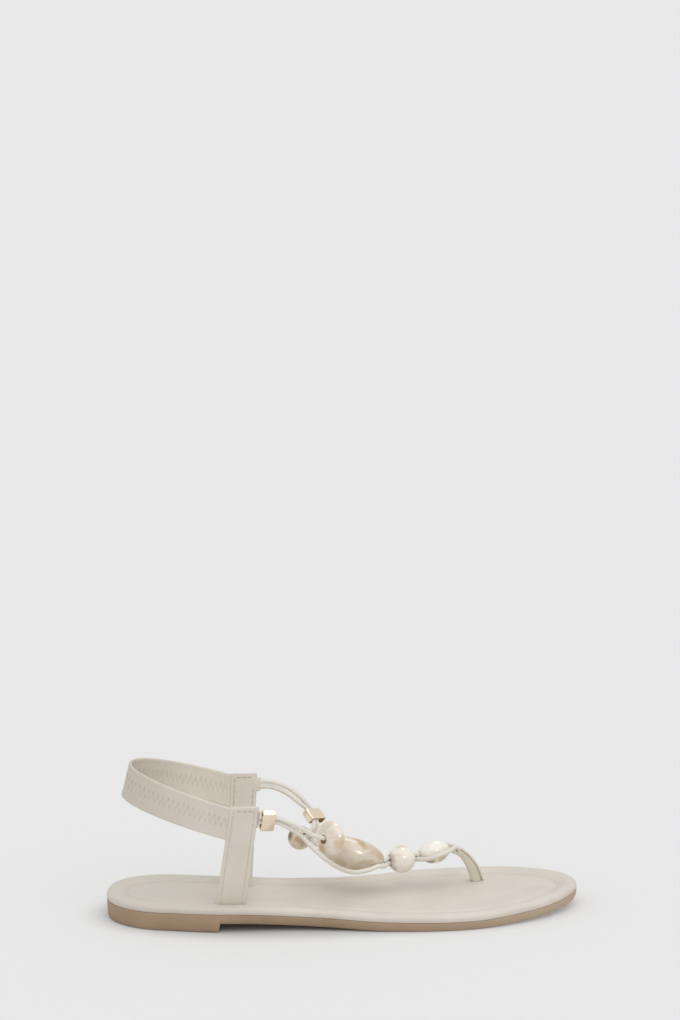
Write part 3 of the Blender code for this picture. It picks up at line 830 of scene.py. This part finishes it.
def make_post(leather):
    """Toe post: leather folded round, closed by a seam near its front edge."""
    inner = curve_through([row.inner for row in POST_ROWS], POST_STEPS)
    outer = curve_through([row.outer for row in POST_ROWS], POST_STEPS)
    middles = [(a + b) / 2.0 for a, b in zip(inner, outer)]
    loops = []
    last = len(middles) - 1
    for k, middle in enumerate(middles):
        depth = (outer[k] - inner[k]).normalized()
        along = middles[min(k + 1, last)] - middles[max(k - 1, 0)]
        side = depth.cross(along).normalized()
        reach = (outer[k] - inner[k]).length / 2.0
        shrink = 1.0 if k < last else POST_END_SHARE
        loop = []
        for step in range(POST_SIDES):
            turn = 2.0 * math.pi * step / POST_SIDES
            a = math.copysign(abs(math.cos(turn)) ** POST_CORNER_POWER, math.cos(turn))
            b = math.copysign(abs(math.sin(turn)) ** POST_CORNER_POWER, math.sin(turn))
            seam = POST_SEAM_DEPTH * bell(reach - a * reach - POST_SEAM * reach, POST_SEAM_WIDTH)
            loop.append(middle + (depth * (a * reach) + side * (b * (POST_WIDTH / 2.0 - seam))) * shrink)
        loops.append(loop)
    piece("toe_post_leather", loft(loops), leather, ["toe_post"])


# Sleeves and beads

def rounded_rectangle(width, height, radius, corner_steps=5):
    """Points of a rectangle with round corners, centred on the origin."""
    points = []
    for quarter in range(4):
        centre_x = (width / 2.0 - radius) * (1.0 if quarter in (0, 3) else -1.0)
        centre_y = (height / 2.0 - radius) * (1.0 if quarter in (0, 1) else -1.0)
        for step in range(corner_steps + 1):
            turn = math.pi / 2.0 * (quarter + step / corner_steps)
            points.append((centre_x + radius * math.cos(turn), centre_y + radius * math.sin(turn)))
    return points


def sleeve_axes(side):
    """Unit vectors of a sleeve: along the cords, up its height and through its depth."""
    along = Vector(SLEEVES[side].axis).normalized()
    upright = Vector(SLEEVES[side].upright)
    upright = (upright - along * upright.dot(along)).normalized()
    return along, upright, upright.cross(along)


def make_sleeve(side, gold):
    """Gold sleeve: a rectangular tube with softened edges on a pair of cords."""
    along, upright, through = sleeve_axes(side)
    centre = Vector(SLEEVES[side].centre)
    half = SLEEVE_LENGTH / 2.0
    wall = SLEEVE_WALL
    edge = SLEEVE_EDGE
    soft = edge * SLEEVE_EDGE_MIDDLE
    rings = [
        (edge, -half), (soft, -half + soft), (0.0, -half + edge),
        (0.0, half - edge), (soft, half - soft), (edge, half),
        (wall - edge, half), (wall, half - edge), (wall, edge - half), (wall - edge, -half), (edge, -half),
    ]
    loops = []
    for inset, reach in rings:
        depth = SLEEVE_DEPTH - 2.0 * inset
        height = SLEEVE_HEIGHT - 2.0 * inset
        outline = rounded_rectangle(depth, height, SLEEVE_CORNER - inset)
        loops.append([centre + along * reach + through * x + upright * y for x, y in outline])
    piece("sleeve_" + side + "_gold", loft(loops, capped=False), gold, ["sleeve_" + side])


def make_bead(name, resin):
    """Drilled bead: an oval turned about its hole, a little uneven as hand-tumbled beads are."""
    bead = BEADS[name]
    bore = bead.bore / 2.0
    half = bead.width / 2.0
    edge = math.asin((bore + BORE_ROUND) / half)
    profile = []
    for k in range(BEAD_RINGS + 1):
        turn = edge + (math.pi - 2.0 * edge) * k / BEAD_RINGS
        profile.append((half * math.sin(turn), bead.length / 2.0 * math.cos(turn)))
    lip = (bore + BORE_LIP, profile[0][1] - BORE_LIP_DEPTH)
    deep = (bore, profile[0][1] - BORE_DEPTH)
    profile += [(lip[0], -lip[1]), (deep[0], -deep[1]), deep, lip, profile[0]]
    turned = Vector(bead.axis).to_track_quat("Z", "Y")
    loops = []
    for radius, reach in profile:
        loop = []
        for k in range(BEAD_SIDES):
            turn = 2.0 * math.pi * k / BEAD_SIDES
            point = Vector((radius * math.cos(turn), radius * math.sin(turn), reach))
            if radius > bore + 2.0 * BORE_LIP:
                uneven = noise.noise(point / BEAD_WOBBLE_SIZE + Vector(bead.centre))
                point.xy *= 1.0 + BEAD_WOBBLE * uneven
            loop.append(turned @ point + Vector(bead.centre))
        loops.append(loop)
    piece(name + "_resin", loft(loops, capped=False), resin, [name])


# Cords

def in_lane(centre, along, lane):
    """Point beside a cord's middle line: towards the lateral side and upwards."""
    across = along.cross(UP).normalized()
    return centre + across * lane[0] + across.cross(along) * lane[1]


def through_bead(name, lane=(0.0, 0.0), ends_inside=False):
    """Route points straight through a bead in a lane beside its axis, or from its far end to its middle."""
    bead = BEADS[name]
    along = Vector(bead.axis).normalized()
    centre = in_lane(Vector(bead.centre), along, lane)
    half = bead.length / 2.0
    reaches = (half + LEAD, half, 0.0) if ends_inside else (-half, 0.0, half)
    return [tuple(centre + along * reach) for reach in reaches]


def through_sleeve(cord):
    """Route points through a sleeve, in a cord's lanes at the way in and the way out."""
    side = cord.split("_")[0]
    along, upright, _ = sleeve_axes(side)
    centre = Vector(SLEEVES[side].centre)
    lane_in, lane_out = [upright * lane for lane in SLEEVE_LANES[cord]]
    half = SLEEVE_LENGTH / 2.0
    places = ((-half, lane_in), (half, lane_out), (half + LEAD, lane_out))
    return [tuple(centre + along * reach + lane) for reach, lane in places]


def tongue_start(side, lane):
    """Where a cord starts at a strap's tongue, in a lane up its height."""
    strap = STRAPS[side]
    reach = strap_half(side, strap.tongue_z + lane) + strap.tongue_length + GAP
    x, y, z = strap_point(side, strap.tongue_z + lane, reach)
    drop = TONGUE_SLOPE * strap.tongue_length if side == "lateral" else 0.0
    return (x + CORD_CLEAR, y + TONGUE_LEAN[side] * lane, z + drop)


def post_end(lane):
    """Where a cord meets the top end of the toe post, in a lane beside its middle."""
    middles = [(Vector(row.inner) + Vector(row.outer)) / 2.0 for row in POST_ROWS[-2:]]
    along = (middles[0] - middles[1]).normalized()
    return [tuple(in_lane(middles[1] - along * reach, along, lane)) for reach in (LEAD, 2.0 * GAP)]


def cord_routes():
    """Listed points of each cord, from its strap to the toe post or its last bead."""
    return {
        "cord_lateral_outer": [
            tongue_start("lateral", -TONGUE_LANE),
            *through_sleeve("lateral_outer")[1:],
            (-25.0, -23.9, 49.4),
            (-18.0, -24.2, 41.8),
            (-8.9, -22.0, 33.1),
            (-0.4, -15.0, 26.3),
            (6.2, -11.5, 24.0),
            (13.5, -8.1, 24.2),
            (18.0, -5.1, 24.9),
            (21.5, -2.5, 23.9),
            *through_bead("bead_round", ROUND_LANES["lateral"]),
            (42.4, 2.4, 25.6),
            (46.0, -0.3, 26.8),
            (52.0, -0.7, 28.9),
            (56.6, 2.1, 29.7),
            *post_end(POST_LANES["lateral"]),
        ],
        "cord_lateral_inner": [
            tongue_start("lateral", TONGUE_LANE),
            *through_sleeve("lateral_inner")[1:],
            (-25.0, -24.4, 53.3),
            (-18.6, -23.0, 48.8),
            *through_bead("bead_lateral", (0.0, 0.7)),
            (-2.2, -11.1, 43.7),
            (-1.9, -8.4, 43.2),
            (-2.8, -4.4, 42.7),
            (-3.8, 0.4, 42.2),
            (-4.0, 5.0, 41.6),
            (-3.4, 9.2, 40.2),
            (-1.8, 12.6, 37.2),
            (0.6, 14.4, 33.8),
            (4.0, 14.6, 31.0),
            (11.0, 12.9, 28.2),
            (18.0, 9.6, 25.8),
            (21.2, 6.6, 24.4),
            *through_bead("bead_round", ROUND_LANES["medial"]),
            (40.9, 10.5, 26.1),
            (44.6, 14.8, 27.5),
            (51.4, 15.9, 28.9),
            (56.4, 13.4, 29.9),
            *post_end(POST_LANES["medial"]),
        ],
        "cord_medial_outer": [
            tongue_start("medial", TONGUE_LANE),
            (-37.2, 17.9, 65.9),
            (-31.8, 17.9, 64.2),
            (-26.3, 17.5, 61.3),
            (-20.8, 16.3, 56.8),
            *through_sleeve("medial_outer")[:2],
            (-13.4, 7.6, 44.2),
            (-14.6, 7.2, 41.8),
            (-15.6, 6.7, 39.3),
            (-15.8, 6.1, 36.8),
            *through_bead("bead_oval", (-0.3, 0.2)),
            *through_bead("bead_round", ROUND_LANES["middle"]),
            *through_bead("bead_toe"),
            *post_end(POST_LANES["middle"]),
        ],
        "cord_medial_inner": [
            tongue_start("medial", -TONGUE_LANE),
            (-37.6, 17.7, 63.2),
            (-32.6, 17.3, 61.6),
            (-27.6, 16.3, 59.0),
            (-22.5, 14.6, 55.1),
            *through_sleeve("medial_inner")[:2],
            (-15.5, 4.7, 44.2),
            (-17.6, 4.2, 41.2),
            *through_bead("bead_medial", ends_inside=True),
        ],
    }


def smooth_route(points):
    """Points along a smooth curve through a route, about one step apart."""
    knots = [Vector(p) for p in points]
    knots = [knots[0] * 2.0 - knots[1]] + knots + [knots[-1] * 2.0 - knots[-2]]
    path = []
    for k in range(1, len(knots) - 2):
        before, start, end, after = knots[k - 1:k + 3]
        span = (end - start).length
        lead_in = (end - before) * (span / ((start - before).length + span))
        lead_out = (after - start) * (span / ((after - end).length + span))
        pieces = max(1, round(span / CORD_STEP))
        for step in range(pieces):
            t = step / pieces
            path.append(
                start * (2 * t ** 3 - 3 * t ** 2 + 1) + lead_in * (t ** 3 - 2 * t ** 2 + t)
                + end * (3 * t ** 2 - 2 * t ** 3) + lead_out * (t ** 3 - t ** 2)
            )
    return path + [knots[-2]]


def make_cord(name, route, leather):
    """Round leather cord, tucked into its tongue at one end and into the post or a bead at the other."""
    path = smooth_route(route)
    path[0] += (path[0] - path[1]).normalized() * TUCK
    path[-1] += (path[-1] - path[-2]).normalized() * TUCK
    curve = bpy.data.curves.new(name + "_leather", "CURVE")
    curve.dimensions = "3D"
    curve.bevel_depth = CORD_RADIUS * MM
    curve.bevel_resolution = CORD_ROUNDING
    curve.use_fill_caps = True
    spline = curve.splines.new("POLY")
    spline.points.add(len(path) - 1)
    for point, place in zip(spline.points, path):
        point.co = (*(place * MM), 1.0)
    spline.use_smooth = True
    cord = dress(put(name + "_leather", curve), leather, [name])


# Materials

# Painted light and shade along the shoe's length: a tone laid on from a start to an end, along X
PaintedLight = namedtuple("PaintedLight", "start end tone")
# Painted shade: the footbed's heel seat a tone darker, where the band and straps shade it
HEEL_PAINTED_SHADE = PaintedLight(-25.0, -75.0, "#cbc3b7")
# Painted light: the outsole's side a tone lighter towards the toe
TOE_PAINTED_LIGHT = PaintedLight(25.0, 105.0, "#b39f86")
# Painted shade: the band a tone darker towards its back round the heel
BAND_PAINTED_SHADE = PaintedLight(-72.0, -112.0, "#c9c0b2")


def colour(text):
    """Linear colour for a shader, from an sRGB hex colour."""
    values = [int(text[k:k + 2], 16) / 255.0 for k in (1, 3, 5)]
    linear = [v / 12.92 if v <= 0.04045 else ((v + 0.055) / 1.055) ** 2.4 for v in values]
    return (*linear, 1.0)


def per_mm(size):
    """Scale of a pattern whose features are a size in millimetres."""
    return 1.0 / (size * MM)


def plug(tree, node, inputs):
    """Set a node's inputs: each is a plain value or another node's output."""
    for key, value in inputs.items():
        if isinstance(value, bpy.types.NodeSocket):
            tree.links.new(value, node.inputs[key])
        else:
            node.inputs[key].default_value = value


def add(tree, kind, inputs, stops=(), **settings):
    """Add a shader node with its inputs, its settings and the stops of a ramp."""
    made = tree.nodes.new("ShaderNode" + kind)
    for key, value in settings.items():
        setattr(made, key, value)
    plug(tree, made, inputs)
    for k, (place, shade) in enumerate(stops):
        elements = made.color_ramp.elements
        stop = elements[k] if k < 2 else elements.new(place)
        stop.position = place
        stop.color = shade
    return made


def cloudy(tree, place, size, detail, output="Fac"):
    """Soft random pattern with clouds of a size in millimetres."""
    inputs = {"Vector": place, "Scale": per_mm(size), "Detail": detail}
    return add(tree, "TexNoise", inputs).outputs[output]


def between(tree, pattern, low, high):
    """Value that goes from low to high as a pattern rises, for the roughness of a face."""
    return add(tree, "MapRange", {"Value": pattern, "To Min": low, "To Max": high}).outputs["Result"]


def fade(tree, value, start, end, low=0.0, high=1.0):
    """Value that goes softly from low to high as another goes from start to end."""
    inputs = {"Value": value, "From Min": start, "From Max": end, "To Min": low, "To Max": high}
    return add(tree, "MapRange", inputs, interpolation_type="SMOOTHSTEP").outputs["Result"]


def relief(tree, pattern, depth, strength, under=None, **settings):
    """Fine relief drawn by a pattern, a depth in millimetres, over another relief if there is one."""
    inputs = {"Height": pattern, "Distance": depth * MM, "Strength": strength}
    if under:
        inputs["Normal"] = under
    return add(tree, "Bump", inputs, **settings).outputs["Normal"]


def two_tones(tree, pattern, deep, pale, spread=(0.3, 0.7)):
    """Colour that goes from a deep to a pale tone as a pattern rises."""
    stops = [(spread[0], colour(deep)), (spread[1], colour(pale))]
    return add(tree, "ValToRGB", {"Fac": pattern}, stops).outputs["Color"]


def laid_over(tree, under, over, share):
    """Colour laid over another by a share, for streaks, stains and painted light and shade."""
    inputs = {"Factor": share, 6: under, 7: colour(over)}
    return add(tree, "Mix", inputs, data_type="RGBA").outputs[2]


def new_material(name):
    """Material with its shader, and the place on the shoe that patterns are laid out in."""
    material = bpy.data.materials.new(name)
    material.use_nodes = True
    tree = material.node_tree
    place = add(tree, "TexCoord", {}).outputs["Object"]
    return material, tree, tree.nodes["Principled BSDF"], place


def painted_light_along(tree, place, tone, shade):
    """Tone that changes along the shoe's length: painted light and shade, laid on from a start to an end."""
    x = add(tree, "SeparateXYZ", {"Vector": place}).outputs["X"]
    share = fade(tree, x, shade.start * MM, shade.end * MM)
    return laid_over(tree, tone, shade.tone, share)


def milled_leather(name, pale, deep, grain, depth, roughness, shade=None):
    """Milled leather: a soft pebbled grain, cloudy tone and a satin face."""
    material, tree, shader, place = new_material(name)
    tone = two_tones(tree, cloudy(tree, place, 22.0, 3.0), deep, pale)
    # A tone along the length, where one is given, is painted light and shade
    if shade:
        tone = painted_light_along(tree, place, tone, shade)
    pebble = add(tree, "TexVoronoi", {"Vector": place, "Scale": per_mm(grain)}, feature="SMOOTH_F1")
    pebbles = pebble.outputs["Distance"]
    pores = relief(tree, cloudy(tree, place, grain * 0.4, 2.0), depth * 0.4, 0.5)
    plug(tree, shader, {
        "Base Color": tone,
        "Roughness": between(tree, pebbles, roughness - 0.06, roughness + 0.08),
        "Normal": relief(tree, pebbles, depth, 0.6, pores, invert=True),
        "IOR": 1.48,
    })
    return material


def moulded_rubber():
    """Moulded tan rubber: a dull, finely textured side, and a fine ribbed tread underneath."""
    material, tree, shader, place = new_material("moulded_rubber")
    cloud = cloudy(tree, place, 16.0, 4.0)
    tone = two_tones(tree, cloud, "#9c8267", "#aa9177")
    # Wave bands repeat every pi/10 of the scaled length
    ribs = add(tree, "TexWave", {"Vector": place, "Scale": 0.314 * per_mm(2.4), "Distortion": 0.0})
    faces = add(tree, "NewGeometry", {}).outputs["Normal"]
    down = add(tree, "VectorMath", {0: faces, 1: (0.0, 0.0, -1.0)}, operation="DOT_PRODUCT")
    under = add(tree, "MapRange", {"Value": down.outputs["Value"], "From Min": 0.9, "From Max": 0.97})
    tread = relief(tree, ribs.outputs["Fac"], 0.4, under.outputs["Result"])
    # The side is painted a tone lighter towards the toe: painted light
    plug(tree, shader, {
        "Base Color": painted_light_along(tree, place, tone, TOE_PAINTED_LIGHT),
        "Roughness": between(tree, cloud, 0.5, 0.66),
        "Normal": relief(tree, cloudy(tree, place, 0.7, 3.0), 0.12, 0.5, tread),
        "IOR": 1.52,
    })
    return material


def waxed_thread(name, deep, pale):
    """Waxed thread: a twisted strand with a dull shine."""
    material, tree, shader, place = new_material(name)
    # Strands are drawn coarser than a real 0.3 mm twist so that they show
    strand = cloudy(tree, place, 0.8, 1.0)
    plug(tree, shader, {
        "Base Color": two_tones(tree, strand, deep, pale, (0.35, 0.65)),
        "Normal": relief(tree, strand, 0.1, 0.6),
        "Roughness": 0.6,
    })
    return material


def plated_gold():
    """Pale gold plate: a bright mirror with faint polishing lines and handling haze."""
    material, tree, shader, place = new_material("plated_gold")
    haze = cloudy(tree, place, 4.0, 3.0)
    drawn = add(tree, "Mapping", {"Vector": place, "Scale": (1.0, 1.0, 9.0)}).outputs["Vector"]
    plug(tree, shader, {
        "Base Color": two_tones(tree, haze, "#f4dfc3", "#f9e9d3"),
        "Roughness": between(tree, haze, 0.14, 0.26),
        "Normal": relief(tree, cloudy(tree, drawn, 2.0, 2.0), 0.02, 0.3),
        "Metallic": 1.0,
    })
    return material


Patch = namedtuple("Patch", "place radius tone strength")
STAIN_AND_SHADING_BEND = 3.0
STAIN_AND_SHADING_CORE = 0.35


def pushed(tree, place, push, reach):
    """Place on the shoe pushed about by a pattern, up to a reach in millimetres."""
    inputs = {0: push, 1: (reach * MM,) * 3, 2: place}
    return add(tree, "VectorMath", inputs, operation="MULTIPLY_ADD").outputs["Vector"]


def marbled_resin(name, tones, streak, cloud_size, patches):
    """Marbled resin: clouded layers with thin streaks under a clear gloss, with stains of the resin and
    patches of painted light and shade laid over them.
    """
    material, tree, shader, place = new_material(name)
    warp = cloudy(tree, place, cloud_size * 1.6, 2.0, "Color")
    bent = pushed(tree, place, warp, cloud_size)
    cloud = cloudy(tree, bent, cloud_size, 4.0)
    spread = [(0.25 + 0.5 * k / (len(tones) - 1), colour(tone)) for k, tone in enumerate(tones)]
    mixed = add(tree, "ValToRGB", {"Fac": cloud}, spread).outputs["Color"]
    flat = add(tree, "Mapping", {"Vector": bent, "Scale": (0.35, 0.35, 1.6)}).outputs["Vector"]
    lines = cloudy(tree, flat, cloud_size * 0.45, 3.0)
    thin = add(tree, "MapRange", {"Value": lines, "From Min": 0.58, "From Max": 0.72, "To Max": 0.55})
    mixed = laid_over(tree, mixed, streak, thin.outputs["Result"])
    wavy = pushed(tree, place, warp, STAIN_AND_SHADING_BEND)
    for patch in patches:
        middle = (Vector(patch.place) + Vector((STAIN_AND_SHADING_BEND / 2.0,) * 3)) * MM
        away = add(tree, "VectorMath", {0: wavy, 1: middle}, operation="DISTANCE")
        rim = patch.radius * MM
        share = fade(tree, away.outputs["Value"], STAIN_AND_SHADING_CORE * patch.radius * MM, rim, patch.strength, 0.0)
        mixed = laid_over(tree, mixed, patch.tone, share)
    plug(tree, shader, {
        "Base Color": mixed,
        "Roughness": between(tree, cloud, 0.16, 0.3),
        "IOR": 1.54,
        "Coat Weight": 0.7,
        "Coat Roughness": 0.05,
    })
    return material


def bead_resins():
    """One marbled resin for each bead, with its stains and its painted light and shade placed where they
    were seen.
    """
    return {
        "bead_lateral": marbled_resin(
            "pearl_resin", ("#dccebd", "#ebe0d3", "#f3ebe0"), "#b7a28c", 8.0,
            (
                Patch((-4.4, -24.6, 43.6), 4.6, "#c9a468", 0.55),
                Patch((-2.2, -23.6, 46.4), 3.4, "#cfae78", 0.45),
                Patch((-13.5, -18.5, 38.6), 4.4, "#bf9f66", 0.7),
                Patch((-10.4, -16.9, 52.6), 4.4, "#c6b3a0", 0.5),
                # Painted light: amber glow through the resin where the cord enters the bore
                Patch((-12.4, -19.3, 44.0), 3.0, "#a87428", 0.95),
            ),
        ),
        "bead_medial": marbled_resin(
            "amber_resin", ("#d0bda4", "#e1d4c1", "#ebe2d4"), "#a98c70", 6.0,
            (
                Patch((-27.5, 11.2, 37.9), 3.8, "#74492f", 0.95),
                Patch((-23.1, 7.3, 36.9), 3.2, "#a47c58", 0.7),
                Patch((-21.5, 7.1, 34.4), 2.6, "#b3945c", 0.65),
            ),
        ),
        "bead_oval": marbled_resin(
            "sand_resin", ("#cdc1ae", "#d8cbb9", "#e2d8ca"), "#b3a287", 9.0,
            (
                Patch((7.4, 2.0, 37.8), 3.0, "#b8975f", 0.6),
                Patch((9.9, -0.1, 36.3), 3.0, "#b18f55", 0.75),
                Patch((11.6, -1.9, 34.4), 2.6, "#b8975f", 0.6),
                Patch((16.0, -1.1, 32.5), 5.4, "#cbb09b", 0.65),
                Patch((19.4, -1.4, 29.6), 3.4, "#b8975f", 0.55),
                Patch((-2.0, -2.8, 26.0), 5.0, "#b3a57a", 0.6),
                Patch((5.9, -3.6, 23.6), 4.6, "#b9a67c", 0.55),
            ),
        ),
        "bead_round": marbled_resin(
            "ivory_resin", ("#e6dccf", "#f0e8dd", "#f6f1e9"), "#c9bba8", 7.0,
            (
                # Painted shade on the bead's left side
                Patch((25.3, 1.3, 27.0), 4.4, "#b09a84", 0.6),
                Patch((31.0, 5.1, 33.0), 4.2, "#bfae98", 0.5),
                # Painted shade on the bead's lower left edge
                Patch((26.4, 1.2, 21.6), 3.4, "#bba893", 0.5),
            ),
        ),
        "bead_toe": marbled_resin(
            "white_resin", ("#e5ddd0", "#f2ece2", "#f8f3eb"), "#b7a694", 8.0,
            (
                Patch((46.6, 2.7, 23.6), 3.6, "#8f7a66", 0.8),
                Patch((53.3, 2.8, 25.2), 4.0, "#bfae8e", 0.7),
            ),
        ),
    }


# Stage

WHITE = "#ffffff"


def flat_square(name, half, material):
    """Flat square sheet, for the floor and the light cards."""
    mesh = bpy.data.meshes.new(name)
    corners = [(-half, -half, 0.0), (half, -half, 0.0), (half, half, 0.0), (-half, half, 0.0)]
    mesh.from_pydata(corners, [], [(0, 1, 2, 3)])
    mesh.materials.append(material)
    return put(name, mesh)


def make_light():
    """Even white dome with a wide soft sun."""
    world = bpy.data.worlds.new("dome")
    bpy.context.scene.world = world
    world.use_nodes = True
    sky = world.node_tree.nodes["Background"]
    plug(world.node_tree, sky, {"Strength": DOME_STRENGTH, "Color": colour(WHITE)})
    sun = put("sun", bpy.data.lights.new("sun", "SUN"))
    sun.data.energy = SUN_STRENGTH
    sun.data.angle = math.radians(SUN_WIDTH)
    sun.rotation_euler = [math.radians(t) for t in SUN_TILT] + [0.0]


def make_floor():
    """Plain pale paper floor that glows a little, as painted light, outside an oval round the shoe, so that
    its wide shadow stays faint.
    """
    paper, tree, shader, place = new_material("paper_floor")
    # Painted light: the glow rises from none near the shoe to its full strength outside the oval
    shifted = add(tree, "VectorMath", {0: place, 1: FLOOR_OVAL_PLACE}, operation="SUBTRACT")
    oval = add(tree, "VectorMath", {0: shifted.outputs["Vector"], 1: FLOOR_OVAL}, operation="DIVIDE")
    reach = add(tree, "VectorMath", {0: oval.outputs["Vector"]}, operation="LENGTH")
    plug(tree, shader, {
        "Base Color": two_tones(tree, cloudy(tree, place, 3.0, 2.0), "#c9c9c9", "#cccccc", (0.0, 1.0)),
        "Roughness": 0.9,
        "Specular IOR Level": 0.0,
        "Emission Color": colour(WHITE),
        "Emission Strength": fade(tree, reach.outputs["Value"], *FLOOR_OVAL_EDGE, 0.0, FLOOR_PAINTED_LIGHT),
    })
    flat_square("paper_floor", FLOOR_REACH, paper)


def make_cards():
    """White cards that show in gloss only, as a studio's do."""
    for number, light in enumerate(CARDS):
        name = "soft_card_%d" % number
        glow, tree, shader, _ = new_material(name)
        plug(tree, shader, {"Emission Color": colour(WHITE), "Emission Strength": light.strength})
        card = flat_square(name, light.size / 2.0, glow)
        card.location = light.place
        card.rotation_mode = "QUATERNION"
        card.rotation_quaternion = Vector(light.place).to_track_quat("Z", "Y")
        card.visible_camera = False
        card.visible_diffuse = False
        card.visible_shadow = False


def main():
    """Camera and cords, then every piece of the sandal and the stage."""
    make_camera()
    cord_leather = milled_leather("cord_leather", "#e6e1d6", "#dcd6ca", 0.9, 0.05, 0.46)
    for name, route in cord_routes().items():
        make_cord(name, route, cord_leather)
    strap_leather = milled_leather("strap_leather", "#ded6ca", "#d6cdc1", 1.0, 0.07, 0.44)
    band_leather = milled_leather("band_leather", "#ddd5c8", "#d4cbbe", 1.2, 0.08, 0.54, BAND_PAINTED_SHADE)
    # Footbed grain is drawn a little coarser than the real 0.9 mm so that it shows
    footbed_leather = milled_leather("footbed_leather", "#d9d1c6", "#d0c7bb", 1.5, 0.09, 0.5, HEEL_PAINTED_SHADE)
    ivory_thread = waxed_thread("ivory_thread", "#d2c9bb", "#ddd5c8")
    # Top stitch thread a tone darker than the leather: painted shade of the stitch holes
    painted_shade_thread = waxed_thread("painted_shade_thread", "#b09d87", "#c2b29e")
    band_thread = waxed_thread("band_thread", "#ccc3b5", "#d9d1c4")
    gold = plated_gold()
    make_sole(moulded_rubber(), footbed_leather)
    for side in STRAPS:
        make_strap(side, strap_leather, ivory_thread, painted_shade_thread)
    make_band(band_leather, band_thread)
    make_post(milled_leather("post_leather", "#ded7c8", "#d5cebd", 1.0, 0.07, 0.46))
    for side in SLEEVES:
        make_sleeve(side, gold)
    for name, resin in bead_resins().items():
        make_bead(name, resin)
    make_light()
    make_floor()
    make_cards()
    bpy.context.scene.view_settings.view_transform = "Standard"


main()
